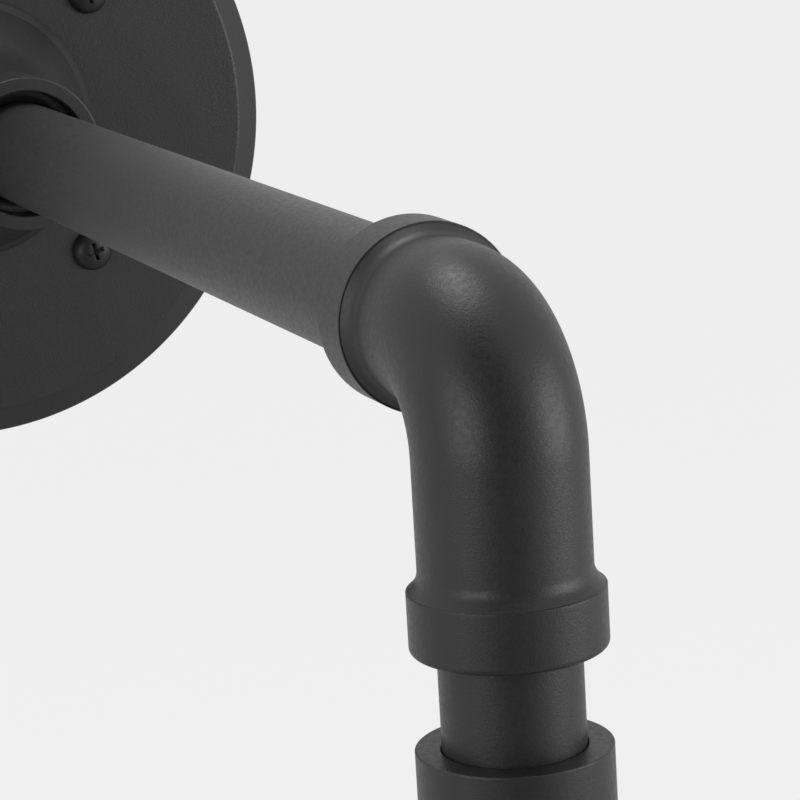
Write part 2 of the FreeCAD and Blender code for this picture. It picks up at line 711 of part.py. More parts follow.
def holder_terminals():
    """The two terminal posts that the leads are clamped in."""
    solids = []
    for x in (-1, 1):
        post = V(x * terminal_x(), DROP_Y, CONTACT_Z + TERMINAL_SEAT)
        height = HOLDER_FLOOR - TERMINAL_SEAT + TERMINAL_RISE
        solids.append(Part.makeCylinder(TERMINAL_OD / 2, height, post, UP))
    return Part.makeCompound(solids)


def screw_shell():
    """The threaded metal shell of the lampholder, plain inside here."""
    length = HOLDER_BODY_HEIGHT - HOLDER_FLOOR - SHELL_SHORT
    opening = terminal_x() + TERMINAL_OD / 2
    profile = [
        (SHELL_IN_R, SHELL_FLOOR, 0),
        (SHELL_IN_R, length, 0),
        (SHELL_OUT_R, length, 0),
        (SHELL_OUT_R, 0, SHELL_WALL),
        (opening, 0, 0),
        (opening, SHELL_FLOOR, 0),
    ]
    return turned(profile, at_drop(CONTACT_Z), DOWN)


def centre_contact():
    """The spring contact that meets the bulb's tip, riveted through the floor."""
    reach = terminal_x()
    leaf = box(
        V(reach + CONTACT_WIDTH / 2, CONTACT_WIDTH, CONTACT_THICKNESS),
        V(-reach / 2 + CONTACT_WIDTH / 4, DROP_Y, CONTACT_Z - CONTACT_THICKNESS / 2),
    )
    rivet = Part.makeCylinder(RIVET_OD / 2, HOLDER_FLOOR, at_drop(HOLDER_JOIN_Z), DOWN)
    return leaf.fuse(rivet).removeSplitter()


# ---- Bulb ----

def bulb_cap():
    """The bulb's screw cap, with ridges at the thread's pitch."""
    inside = ROOT_R - CAP_WALL * 2
    profile = [(inside, 0, 0), (ROOT_R - CAP_WALL, 0, 0)]
    turns = int((CAP_LENGTH - CAP_SKIRT - THREAD_PITCH / 2) / THREAD_PITCH)
    start = THREAD_PITCH / 2
    for k in range(turns):
        low = start + k * THREAD_PITCH
        profile.append((ROOT_R, low, 0.5))
        profile.append((CAP_R, low + THREAD_PITCH * 0.3, 0.5))
        profile.append((CAP_R, low + THREAD_PITCH * 0.5, 0.5))
        profile.append((ROOT_R, low + THREAD_PITCH * 0.8, 0.5))
    profile.append((ROOT_R, CAP_LENGTH, 0))
    profile.append((NECK_R, CAP_LENGTH, 0))
    profile.append((NECK_R, CAP_LENGTH - NECK_INSIDE, 0))
    profile.append((inside, CAP_LENGTH - NECK_INSIDE - 1.0, 0))
    return turned(profile, at_drop(CAP_TOP_Z), DOWN)


def bulb_insulator():
    """The dark insulator between the cap and the tip."""
    profile = [
        (0, 0, 0),
        (TIP_OD / 2 + 0.6, 0, 0.4),
        (ROOT_R - CAP_WALL, INSULATOR_HEIGHT, 0),
        (0, INSULATOR_HEIGHT, 0),
    ]
    return turned(profile, at_drop(INSULATOR_TOP_Z), DOWN)


def bulb_tip():
    """The contact at the bulb's end."""
    profile = [(0, 0, 0), (TIP_OD / 2, 0, TIP_HEIGHT * 0.8), (TIP_OD / 2, TIP_HEIGHT, 0), (0, TIP_HEIGHT, 0)]
    return turned(profile, at_drop(TIP_TOP_Z), DOWN)


def glass_wire(inset):
    """Half outline of the glass: a neck, a straight taper and a round end. Also its top and bottom."""
    neck = NECK_R - inset
    ball = GLASS_OD / 2 - inset
    centre = GLASS_LENGTH - GLASS_OD / 2
    start = V(neck, 0, NECK_SHOWING)
    to_centre = V(0, 0, centre) - start
    lean = math.asin(ball / to_centre.Length)
    facing = math.atan2(to_centre.z, to_centre.x)
    run = to_centre.Length * math.cos(lean)
    touch = start + V(math.cos(facing - lean), 0, math.sin(facing - lean)) * run
    bottom = V(0, 0, centre + ball)
    angle = (math.atan2(touch.z - centre, touch.x) + math.pi / 2) / 2
    middle = V(ball * math.cos(angle), 0, centre + ball * math.sin(angle))
    top = V(neck, 0, -NECK_INSIDE)
    arrive, round_middle, leave = corner_arc(top, start, touch, GLASS_OD / 8)
    edges = [
        Part.LineSegment(top, arrive).toShape(),
        Part.Arc(arrive, round_middle, leave).toShape(),
        Part.LineSegment(leave, touch).toShape(),
        Part.Arc(touch, middle, bottom).toShape(),
    ]
    return edges, top, bottom


def bulb_glass():
    """The clear tapered glass."""
    outer, outer_top, outer_bottom = glass_wire(0)
    inner, inner_top, inner_bottom = glass_wire(GLASS_WALL)
    closing = [
        Part.LineSegment(outer_bottom, inner_bottom).toShape(),
        Part.LineSegment(inner_top, outer_top).toShape(),
    ]
    wire = Part.Wire(Part.__sortEdges__(outer + inner + closing))
    solid = Part.Face(wire).revolve(V(0, 0, 0), UP, 360)
    return place(solid, at_drop(CAP_END_Z), DOWN)


def bulb_stem():
    """The glass stem, with the flare that closes the neck and the press that holds the wires."""
    neck = NECK_R - GLASS_WALL - NECK_GAP
    stem = STEM_OD / 2
    profile = [
        (0, -NECK_INSIDE, 0),
        (neck, -NECK_INSIDE, 0),
        (neck, -NECK_INSIDE + 1.2, 0),
        (stem, 6.0, 8.0),
        (stem, STEM_LENGTH * 0.45, 1.0),
        (STEM_TIP_OD / 2, STEM_LENGTH * 0.6, 1.0),
        (STEM_TIP_OD / 2, STEM_LENGTH, STEM_TIP_OD * 0.2),
        (0, STEM_LENGTH, 0),
    ]
    return turned(profile, at_drop(CAP_END_Z), DOWN)


def filament_ends(k):
    """Top and foot of one filament stick."""
    angle = 2 * math.pi * k / FILAMENT_COUNT
    out = V(math.cos(angle), math.sin(angle), 0)
    height = math.sqrt(FILAMENT_LENGTH**2 - (FILAMENT_FOOT_SPREAD - FILAMENT_TOP_SPREAD) ** 2)
    top_z = CAP_END_Z - STEM_LENGTH * 0.75
    return at_drop(top_z) + out * FILAMENT_TOP_SPREAD, at_drop(top_z - height) + out * FILAMENT_FOOT_SPREAD


def filaments():
    """The glowing sticks."""
    solids = []
    for k in range(FILAMENT_COUNT):
        top, foot = filament_ends(k)
        solids.append(Part.makeCylinder(FILAMENT_OD / 2, (foot - top).Length, top, foot - top))
    return Part.makeCompound(solids)


def filament_supports():
    """The wires from the stem to the filaments' tops, and the post and star of wires at their feet."""
    wire = SUPPORT_OD / 2
    pin = wire * 1.4
    pin_gap = SUPPORT_OD * 0.1
    pin_height = SUPPORT_OD * 2.4
    arm_offset = SUPPORT_OD * 1.5
    core = STEM_TIP_OD / 2
    solids = []
    star_z = filament_ends(0)[1].z - arm_offset
    star = Part.makeCylinder(pin, at_drop(stem_end_z()).z - star_z, at_drop(stem_end_z()), DOWN)
    star = star.fuse(Part.makeCylinder(STAR_HUB_OD / 2, SUPPORT_OD * 2, at_drop(star_z + SUPPORT_OD), DOWN))
    for k in range(FILAMENT_COUNT):
        top, foot = filament_ends(k)
        hub = at_drop(top.z + arm_offset)
        out = (top + UP * arm_offset - hub).normalize()
        reach = (top + UP * arm_offset - hub).Length
        arm = Part.makeCylinder(wire, reach - core, hub + out * core, out)
        solids.append(arm.fuse(Part.makeCylinder(pin, pin_height, top + UP * pin_gap, UP)))
        star = star.fuse(Part.makeCylinder(wire, FILAMENT_FOOT_SPREAD, at_drop(star_z), out))
        star = star.fuse(Part.makeCylinder(pin, pin_height, foot + DOWN * pin_gap, DOWN))
    solids.append(star)
    return Part.makeCompound(solids)


def stem_end_z():
    """Height of the stem's lower end."""
    return CAP_END_Z - STEM_LENGTH


# ---- Leads ----

def lamp_lead(side, pole):
    """A lead from a lampholder terminal, through the pipes, to its pole of the terminal block."""
    x = side * LEAD_APART / 2
    pole_x = block_pole_x(pole)
    post_x = side * terminal_x()
    clamp_z = HOLDER_JOIN_Z + TERMINAL_RISE
    cross_z = HOLDER_TOP_Z - HOLDER_BOSS - LEAD_R - 0.3
    enter = block_lead_y()
    above = BLOCK_HEIGHT / 2 + 3.0
    turn_y = block_back_y() - BLOCK_DEPTH - 4.0
    points = [
        V(post_x, DROP_Y, clamp_z),
        V(post_x, DROP_Y, cross_z - 0.4),
        V(x, DROP_Y, cross_z),
        V(x, DROP_Y, 0),
        V(x, turn_y - 10.0, 0),
        V(pole_x, turn_y, above * 0.7),
        V(pole_x, enter, above + 1.5),
        V(pole_x, enter, BLOCK_HEIGHT / 2 - 4.0),
    ]
    radii = [0, 1.2, 1.2, ELBOW_BEND, 4.0, 3.0, 2.0, 0]
    return swept(points, radii, LEAD_R)


def live_lead():
    """The live lead."""
    return lamp_lead(-1, 0)


def neutral_lead():
    """The neutral lead."""
    return lamp_lead(1, BLOCK_POLES - 1)


def earth_lead():
    """The short earth lead from the block's middle pole to the earth screw."""
    enter = block_lead_y()
    low = -BLOCK_HEIGHT / 2
    post = earth_screw_place()
    wrap_y = post.y + 1.0 + EARTH_SCREW_OD * 0.3
    end_z = post.z + EARTH_SCREW_OD + LEAD_R + 0.1
    points = [
        V(0, enter, low + 4.0),
        V(0, enter, low - 2.5),
        V(0, wrap_y, low - 6.0),
        V(0, wrap_y, end_z),
    ]
    return swept(points, [0, 2.0, 2.0, 0], LEAD_R)


NODES = {
    "wall_flange": wall_flange,
    "flange_screws": flange_screws,
    "flange_hub": flange_hub,
    "hub_screws": hub_screws,
    "hub_set_screw": hub_set_screw,
    "pipe_bush": pipe_bush,
    "terminal_bracket": terminal_bracket,
    "bracket_screws": bracket_screws,
    "terminal_block": terminal_block,
    "terminal_screws": terminal_screws,
    "earth_screw": earth_screw,
    "earth_washer": earth_washer,
    "arm_pipe": arm_pipe,
    "elbow": elbow,
    "drop_pipe": drop_pipe,
    "lamp_cup": lamp_cup,
    "cup_nipple": cup_nipple,
    "cup_locknut": cup_locknut,
    "holder_cap": holder_cap,
    "holder_body": holder_body,
    "holder_terminals": holder_terminals,
    "screw_shell": screw_shell,
    "centre_contact": centre_contact,
    "live_lead": live_lead,
    "neutral_lead": neutral_lead,
    "earth_lead": earth_lead,
    "bulb_cap": bulb_cap,
    "bulb_insulator": bulb_insulator,
    "bulb_tip": bulb_tip,
    "bulb_glass": bulb_glass,
    "bulb_stem": bulb_stem,
    "filaments": filaments,
    "filament_supports": filament_supports,
}


def main():
    """Writes one STEP file per node."""
    os.makedirs("parts", exist_ok=True)
    for name, make in NODES.items():
        shape = make()
        solids = shape.Solids
        valid = all(solid.isValid() for solid in solids)
        print(f"{name}: {len(solids)} solids, {shape.Volume:.1f} mm3, valid {valid}")
        shape.exportStep(os.path.join("parts", name + ".step"))


main()
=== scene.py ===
"""Looks of the pipe wall light: its finishes, its turned and bent pieces, and the studio round it.

The light stands out from its wall along -Y, +Z is up, and lengths are in metres unless their
comment says otherwise. The origin is the centre of the wall flange, on the wall.
"""

from __future__ import annotations

import json
import logging
import math
from collections.abc import Iterable, Sequence
from dataclasses import dataclass, field
from enum import Enum
from functools import cached_property

import bmesh
import bpy
from mathutils import Matrix, Vector

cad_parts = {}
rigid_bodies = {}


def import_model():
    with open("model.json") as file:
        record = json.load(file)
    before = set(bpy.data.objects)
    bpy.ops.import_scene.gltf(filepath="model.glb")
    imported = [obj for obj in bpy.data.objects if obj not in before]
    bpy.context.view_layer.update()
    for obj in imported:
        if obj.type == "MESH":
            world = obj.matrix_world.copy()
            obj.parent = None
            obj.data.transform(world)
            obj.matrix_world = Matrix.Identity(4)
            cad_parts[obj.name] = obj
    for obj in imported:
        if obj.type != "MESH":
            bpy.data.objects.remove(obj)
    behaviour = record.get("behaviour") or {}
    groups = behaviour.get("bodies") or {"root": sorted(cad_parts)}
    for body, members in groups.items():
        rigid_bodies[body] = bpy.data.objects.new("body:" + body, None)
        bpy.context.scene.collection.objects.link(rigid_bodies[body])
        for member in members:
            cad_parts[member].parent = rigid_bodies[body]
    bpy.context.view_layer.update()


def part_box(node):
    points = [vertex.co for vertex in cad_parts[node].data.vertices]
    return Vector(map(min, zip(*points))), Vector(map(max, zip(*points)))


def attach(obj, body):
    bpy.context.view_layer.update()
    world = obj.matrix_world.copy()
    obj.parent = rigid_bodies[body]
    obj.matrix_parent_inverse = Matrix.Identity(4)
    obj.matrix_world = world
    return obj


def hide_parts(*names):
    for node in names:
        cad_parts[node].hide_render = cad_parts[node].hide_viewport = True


LOG = logging.getLogger("pipe_wall_light")
MM = 0.001
WELD_GAP = 2e-6
SAME_POINT = 1e-6
LEG_Y = -256.0 * MM

Corner = tuple[float, float, float]
Colour = Sequence[float]
Piece = bpy.types.Object
Socket = bpy.types.NodeSocket


class Body(Enum):
    """The rigid bodies that pieces ride on."""

    LAMP = "lamp"
    BULB_BASE = "bulb_base"
    BULB_ENVELOPE = "bulb_envelope"


class Metal(Enum):
    """Plain metals, by the colour of their surface."""

    ZINC = (0.60, 0.61, 0.60)
    BRASS = (0.72, 0.50, 0.20)
    NICKEL = (0.68, 0.65, 0.60)
    SOLDER = (0.52, 0.52, 0.52)


class Moulding(Enum):
    """Moulded plastics and insulation, by colour."""

    BLACK = (0.022, 0.022, 0.023)
    IVORY = (0.70, 0.68, 0.60)
    WHITE = (0.72, 0.72, 0.70)
    GREEN = (0.02, 0.22, 0.05)
    VITREOUS = (0.012, 0.011, 0.012)


# ---- Node trees ----


class NodeBuilder:
    """Adds nodes to a tree and links them, with numbers and sockets given alike."""

    def __init__(self, tree: bpy.types.NodeTree) -> None:
        """Keeps the tree that the nodes go in."""
        self.tree = tree

    @classmethod
    def emptied(cls, owner: bpy.types.Material | bpy.types.World) -> NodeBuilder:
        """Empties the node tree of a material or a world.

        Args:
            owner: what the tree belongs to.

        Returns:
            A builder for the tree.
        """
        owner.use_nodes = True
        owner.node_tree.nodes.clear()
        return cls(owner.node_tree)

    def feed(self, socket: Socket, value: object) -> None:
        """Links a socket to another, or sets its value.

        Args:
            socket: the input to feed.
            value: an output socket, or a plain value.
        """
        if isinstance(value, Socket):
            self.tree.links.new(value, socket)
        else:
            socket.default_value = value

    def node(
        self, kind: str, inputs: dict[str | int, object] | None = None, **settings: object
    ) -> bpy.types.Node:
        """Adds a node.

        Args:
            kind: Blender's name for the node's type.
            inputs: what each input takes, by name or number.
            settings: the node's own properties.

        Returns:
            The new node.
        """
        made = self.tree.nodes.new(kind)
        for name, value in settings.items():
            setattr(made, name, value)
        for key, value in (inputs or {}).items():
            self.feed(made.inputs[key], value)
        return made

    def math(self, operation: str, first: object, second: object = 0.0) -> Socket:
        """Adds a Math node and returns its result."""
        return self.node("ShaderNodeMath", {0: first, 1: second}, operation=operation).outputs[0]

    def times(self, first: object, second: object) -> Socket:
        """Returns one number times another."""
        return self.math("MULTIPLY", first, second)

    def vector(self, operation: str, first: object, second: object = (0.0, 0.0, 0.0)) -> Socket:
        """Adds a Vector Math node and returns its vector."""
        inputs = {0: first, 1: second}
        return self.node("ShaderNodeVectorMath", inputs, operation=operation).outputs[0]

    def scaled(self, vector: object, factor: object) -> Socket:
        """Returns a vector times a number."""
        inputs = {0: vector, "Scale": factor}
        return self.node("ShaderNodeVectorMath", inputs, operation="SCALE").outputs[0]

    def facing(self, first: object, second: object) -> Socket:
        """Returns how far two directions agree, 1 where they are the same."""
        inputs = {0: first, 1: second}
        return self.node("ShaderNodeVectorMath", inputs, operation="DOT_PRODUCT").outputs["Value"]

    def spread(
        self,
        value: object,
        low: float,
        high: float,
        span: tuple[float, float] = (0.3, 0.7),
        kind: str = "LINEAR",
    ) -> Socket:
        """Maps a value's span to a range of its own.

        Args:
            value: what is mapped.
            low: the result at the span's start and before it.
            high: the result at the span's end and after it.
            span: the span, by default a noise's middle range.
            kind: LINEAR, or SMOOTHSTEP for a smooth rise.

        Returns:
            The result.
        """
        inputs = {"Value": value, "From Min": span[0], "From Max": span[1]}
        ends = {"To Min": low, "To Max": high}
        return self.node(
            "ShaderNodeMapRange", {**inputs, **ends}, interpolation_type=kind
        ).outputs[0]

    def noise(self, scale: float, detail: float, rough: float = 0.5) -> Socket:
        """A noise on the object's own coordinates.

        Args:
            scale: its grains to the metre.
            detail: its octaves.
            rough: how strong the finer octaves are.

        Returns:
            The noise, from 0 to 1.
        """
        place = self.node("ShaderNodeTexCoord").outputs["Object"]
        inputs = {"Vector": place, "Scale": scale, "Detail": detail, "Roughness": rough}
        return self.node("ShaderNodeTexNoise", inputs).outputs[0]

    def tinted(self, value: object, dark: Colour, light: Colour) -> Socket:
        """A colour between two, by a value from 0 to 1."""
        inputs = {"Factor": value, 6: (*dark, 1.0), 7: (*light, 1.0)}
        return self.node("ShaderNodeMix", inputs, data_type="RGBA").outputs[2]

    def drift(
        self, colour: Colour, scale: float, detail: float, dark: float, light: float = 1.0
    ) -> Socket:
        """A colour that drifts between a darker and a lighter tone of itself.

        Args:
            colour: the colour.
            scale: the drift's grains to the metre.
            detail: its octaves.
            dark: the darker tone, as a share of the colour.
            light: the lighter tone, as a share of the colour.

        Returns:
            The colour.
        """
        tone = self.spread(self.noise(scale, detail), 0.0, 1.0)
        darker, lighter = ([part * share for part in colour] for share in (dark, light))
        return self.tinted(tone, darker, lighter)

    def relief(self, height: object, strength: float, distance: float) -> Socket:
        """A bump, as a normal, from a height that is worth a distance in metres."""
        inputs = {"Height": height, "Strength": strength, "Distance": distance}
        return self.node("ShaderNodeBump", inputs).outputs[0]

    def surface(self, shader: Socket, output: str = "ShaderNodeOutputMaterial") -> None:
        """Ends a material's or world's tree in a shader."""
        self.feed(self.node(output).inputs["Surface"], shader)


class GeometryTree(NodeBuilder):
    """A Geometry Nodes tree with named inputs, made in steps."""

    def __init__(self, name: str, inputs: dict[str, str]) -> None:
        """Makes an empty tree that takes a base mesh and a material.

        Args:
            name: the tree's name.
            inputs: each further input and its kind, such as Float.
        """
        super().__init__(bpy.data.node_groups.new(name, "GeometryNodeTree"))
        face = self.tree.interface
        for label, kind in {"Geometry": "Geometry", **inputs, "Material": "Material"}.items():
            face.new_socket(name=label, in_out="INPUT", socket_type="NodeSocket" + kind)
        face.new_socket(name="Geometry", in_out="OUTPUT", socket_type="NodeSocketGeometry")
        self.given = self.tree.nodes.new("NodeGroupInput").outputs

    def tube(self, rings: object, sides: object) -> tuple[Socket, Socket, Socket]:
        """Lays out a grid that is to be rolled into a tube.

        Args:
            rings: how many rings it has.
            sides: how many faces go round it.

        Returns:
            The grid, the number of each point's ring, and the point's angle round it.
        """
        around = self.math("ADD", sides, 1.0)
        counts = {"Vertices X": rings, "Vertices Y": around}
        grid = self.node("GeometryNodeMeshGrid", counts).outputs["Mesh"]
        index = self.node("GeometryNodeInputIndex").outputs[0]
        ring = self.math("FLOOR", self.math("DIVIDE", self.math("ADD", index, 0.5), around))
        side = self.math("SUBTRACT", index, self.times(ring, around))
        return grid, ring, self.math("DIVIDE", self.times(side, math.tau), sides)

    def point(self, x: object, y: object, z: object) -> Socket:
        """Returns a point from its three coordinates."""
        return self.node("ShaderNodeCombineXYZ", {"X": x, "Y": y, "Z": z}).outputs[0]

    def polar(self, out: Socket, angle: Socket, up: Socket) -> Socket:
        """Returns the point so far out from Z, at an angle round it, and so far up."""
        x, y = (self.times(self.math(kind, angle), out) for kind in ("COSINE", "SINE"))
        return self.point(x, y, up)

    def moved(self, geometry: Socket, place: Socket) -> Socket:
        """Moves each point to its place."""
        inputs = {"Geometry": geometry, "Position": place}
        return self.node("GeometryNodeSetPosition", inputs).outputs[0]

    def skin(self, grid: Socket, place: Socket) -> Socket:
        """Moves a grid's points to their places, and closes its seam and its ends."""
        inputs = {"Geometry": self.moved(grid, place), "Distance": WELD_GAP}
        return self.node("GeometryNodeMergeByDistance", inputs).outputs[0]

    def end(self, geometry: Socket) -> bpy.types.NodeTree:
        """Ends the tree with real meshes, smooth shading and the material.

        Args:
            geometry: what the tree has made.

        Returns:
            The finished tree.
        """
        real = self.node("GeometryNodeRealizeInstances", {0: geometry}).outputs[0]
        smooth = self.node("GeometryNodeSetShadeSmooth", {0: real}).outputs[0]
        inputs = {0: smooth, "Material": self.given["Material"]}
        dressed_mesh = self.node("GeometryNodeSetMaterial", inputs).outputs[0]
        self.feed(self.tree.nodes.new("NodeGroupOutput").inputs[0], dressed_mesh)
        return self.tree


def placed(name: str, mesh: bpy.types.Mesh) -> Piece:
    """Puts a mesh in the scene as an object at the origin.

    Args:
        name: the name that both take.
        mesh: the mesh.

    Returns:
        The object.
    """
    mesh.name = name
    piece = bpy.data.objects.new(name, mesh)
    bpy.context.scene.collection.objects.link(piece)
    return piece


def applied(holder: Piece) -> bpy.types.Mesh:
    """Makes a plain mesh of an object with modifiers, and removes the object.

    Args:
        holder: the object.

    Returns:
        The mesh.
    """
    graph = bpy.context.evaluated_depsgraph_get()
    mesh = bpy.data.meshes.new_from_object(holder.evaluated_get(graph), depsgraph=graph)
    holder.modifiers.clear()
    bpy.data.objects.remove(holder)
    return mesh


def outward(mesh: bpy.types.Mesh) -> bpy.types.Mesh:
    """Turns a mesh inside out if it encloses a negative volume.

    Args:
        mesh: a closed mesh whose faces all agree.

    Returns:
        The same mesh, with its faces pointing outwards.
    """
    shell = bmesh.new()
    shell.from_mesh(mesh)
    if shell.calc_volume(signed=True) < 0:
        bmesh.ops.reverse_faces(shell, faces=shell.faces)
    shell.to_mesh(mesh)
    shell.free()
    return mesh


def grown(
    name: str, base: bpy.types.Mesh, tree: bpy.types.NodeTree, values: dict[str, object]
) -> Piece:
    """Runs a Geometry Nodes tree on a mesh and keeps the result as a plain piece.

    Args:
        name: the new piece's name.
        base: the mesh that the tree starts from.
        tree: the finished tree.
        values: a value for each named input.

    Returns:
        The new piece, with its faces pointing outwards and no modifier.
    """
    holder = placed(name + "_base", base)
    modifier = holder.modifiers.new("grow", "NODES")
    modifier.node_group = tree
    for item in tree.interface.items_tree:
        if item.in_out == "INPUT" and item.name in values:
            modifier[item.identifier] = values[item.name]
    return placed(name, outward(applied(holder)))


def line_mesh(name: str, points: Iterable[Sequence[float]]) -> bpy.types.Mesh:
    """A mesh of points joined in a row by edges.

    Args:
        name: the mesh's name.
        points: the points in order.

    Returns:
        The mesh.
    """
    spots = [tuple(point) for point in points]
    mesh = bpy.data.meshes.new(name)
    mesh.from_pydata(spots, [(i, i + 1) for i in range(len(spots) - 1)], [])
    return mesh


# ---- Turned and bent shapes ----


@dataclass
class Profile:
    """A closed outline that is carried along a path.

    Args:
        corners: each corner's distance along, radius out and rounding.
        arc_steps: how many faces round each corner.
        long_step: the longest stretch without a ring, so that a bend stays smooth.
        guard: how far from a rounded corner an extra ring holds the shading flat.
    """

    corners: Sequence[Corner]
    arc_steps: int = 7
    long_step: float = 10.0
    guard: float = 0.12 * MM

    STRAIGHT = math.radians(89.9)
    ROOM_SHARE = 0.49

    def points(self) -> list[tuple[float, float]]:
        """The outline's points.

        Returns:
            Each point's distance along and radius out, the first one repeated at the end.
        """
        outline: list[tuple[float, float]] = []
        count = len(self.corners)
        for i, (along, out, rounding) in enumerate(self.corners):
            before = Vector(self.corners[i - 1][:2])
            after = Vector(self.corners[(i + 1) % count][:2])
            outline += self._corner(before, Vector((along, out)), after, rounding)
        outline.append(outline[0])
        return self._divided(outline)

    def _corner(
        self, before: Vector, here: Vector, after: Vector, rounding: float
    ) -> list[tuple[float, float]]:
        """One corner's points.

        Args:
            before: the corner before it.
            here: the corner.
            after: the corner after it.
            rounding: the radius that rounds it, or 0.

        Returns:
            The guard rings and the arc between them, or the bare corner.
        """
        to_before, to_after = (before - here).normalized(), (after - here).normalized()
        half = to_before.angle(to_after) / 2
        if rounding <= 0 or half > self.STRAIGHT:
            return [tuple(here)]
        room = self.ROOM_SHARE * min((before - here).length, (after - here).length)
        run = min(rounding / math.tan(half), room)
        radius = run * math.tan(half)
        middle = here + (to_before + to_after).normalized() * (radius / math.sin(half))
        start, finish = here + to_before * run, here + to_after * run
        turn = (start - middle).angle_signed(finish - middle)
        arc = []
        for step in range(self.arc_steps + 1):
            spoke = (start - middle).copy()
            spoke.rotate(Matrix.Rotation(-turn * step / self.arc_steps, 2))
            arc.append(tuple(middle + spoke))
        if run + self.guard >= room:
            return arc
        return [
            tuple(start + to_before * self.guard), *arc, tuple(finish + to_after * self.guard)
        ]

    def _divided(self, outline: list[tuple[float, float]]) -> list[tuple[float, float]]:
        """Divides each stretch that is longer than long_step.

        Args:
            outline: the outline's points.

        Returns:
            The points with those of the divided stretches.
        """
        divided = [outline[0]]
        for start, finish in zip(outline, outline[1:]):
            pieces = max(1, math.ceil(math.dist(start, finish) / self.long_step))
            for step in range(1, pieces + 1):
                share = step / pieces
                divided.append(tuple(a + (b - a) * share for a, b in zip(start, finish)))
        return divided


class Lathe:
    """Makes pieces by carrying a profile along a path, with one tree for them all."""

    BEND_STEPS = 120

    @cached_property
    def tree(self) -> bpy.types.NodeTree:
        """The tree that carries a closed outline round and along a filleted path.

        Returns:
            A tree whose base mesh is the path, with the outline, the bend and the number of
            sides as inputs.
        """
        inputs = {"Outline": "Object", "Bend Radius": "Float", "Bend Steps": "Int", "Sides": "Int"}
        tree = GeometryTree("carry outline along path", inputs)
        given = tree.given
        bare = tree.node("GeometryNodeMeshToCurve", {0: given["Geometry"]}).outputs[0]
        fillet = {"Curve": bare, "Radius": given["Bend Radius"], "Count": given["Bend Steps"]}
        path = tree.node("GeometryNodeFilletCurve", fillet, mode="POLY").outputs[0]
        source = {"Object": given["Outline"]}
        outline = tree.node("GeometryNodeObjectInfo", source).outputs["Geometry"]
        rings = tree.node("GeometryNodeAttributeDomainSize", {0: outline}).outputs["Point Count"]
        grid, ring, angle = tree.tube(rings, given["Sides"])
        spot = tree.node("GeometryNodeInputPosition").outputs[0]
        sample = {"Geometry": outline, "Value": spot, "Index": ring}
        reading = tree.node("GeometryNodeSampleIndex", sample, data_type="FLOAT_VECTOR")
        reading = tree.node("ShaderNodeSeparateXYZ", {0: reading.outputs[0]}).outputs
        sample = {"Curves": path, "Length": reading["X"]}
        on_path = tree.node("GeometryNodeSampleCurve", sample, mode="LENGTH").outputs
        across = tree.vector("CROSS_PRODUCT", on_path["Tangent"], on_path["Normal"])
        cosine = tree.scaled(on_path["Normal"], tree.math("COSINE", angle))
        sine = tree.scaled(across, tree.math("SINE", angle))
        spoke = tree.scaled(tree.vector("ADD", cosine, sine), reading["Y"])
        return tree.end(tree.skin(grid, tree.vector("ADD", on_path["Position"], spoke)))

    def make(
        self,
        name: str,
        profile: Profile,
        path: Sequence[Sequence[float]],
        material: bpy.types.Material,
        sides: int = 128,
        bend: float = 0.0,
    ) -> Piece:
        """Makes one piece.

        Args:
            name: the piece's name.
            profile: its closed outline.
            path: the corners of the path that the outline follows.
            material: the finish.
            sides: faces round the piece.
            bend: the radius that rounds the path's corners.

        Returns:
            The finished piece.
        """
        points = [(along, out, 0.0) for along, out in profile.points()]
        outline = placed(name + "_outline", line_mesh(name + "_outline", points))
        values = {
            "Outline": outline,
            "Bend Radius": bend,
            "Bend Steps": self.BEND_STEPS,
            "Sides": sides,
            "Material": material,
        }
        piece = grown(name, line_mesh(name + "_path", path), self.tree, values)
        bpy.data.objects.remove(outline)
        return piece


LATHE = Lathe()


# ---- Finishes ----


@dataclass(frozen=True)
class Finish:
    """A procedural finish on a principled shader.

    Args:
        label: the material's name.
    """

    label: str

    def material(self) -> bpy.types.Material:
        """Makes the material the first time it is asked for.

        Returns:
            The material.
        """
        if self.label in bpy.data.materials:
            return bpy.data.materials[self.label]
        made = bpy.data.materials.new(self.label)
        builder = NodeBuilder.emptied(made)
        builder.surface(builder.node("ShaderNodeBsdfPrincipled", self.sockets(builder)).outputs[0])
        return made

    def sockets(self, builder: NodeBuilder) -> dict[str, object]:
        """What the shader's sockets take. Each kind of finish has its own.

        Args:
            builder: the material's tree.

        Returns:
            What each of the shader's sockets takes.
        """
        raise NotImplementedError


@dataclass(frozen=True)
class PowderCoat(Finish):
    """Matte charcoal powder coat with a fine pebbled surface.

    Args:
        label: the material's name.
        colour: its mean colour.
        grain: pebbles to the metre.
        relief: the pebbles' height.
        roughness: the shader's mean roughness.
    """

    colour: Colour = (0.0184, 0.0187, 0.0197)
    grain: float = 3200.0
    relief: float = 0.026 * MM
    roughness: float = 0.40

    def sockets(self, builder: NodeBuilder) -> dict[str, object]:
        """The coat's slow drift in tone, its speckle and its pebbled relief.

        Args:
            builder: the material's tree.

        Returns:
            What each of the shader's sockets takes.
        """
        pebbles = builder.noise(self.grain, 2.0, 0.55)
        speckle = builder.noise(self.grain * 0.45, 2.0, 0.6)
        height = builder.math("ADD", pebbles, builder.times(speckle, 0.35))
        return {
            "Base Color": builder.drift(self.colour, 28.0, 2.0, 0.90, 1.10),
            "Roughness": builder.spread(speckle, self.roughness - 0.05, self.roughness + 0.07),
            "Normal": builder.relief(height, 1.0, self.relief),
        }


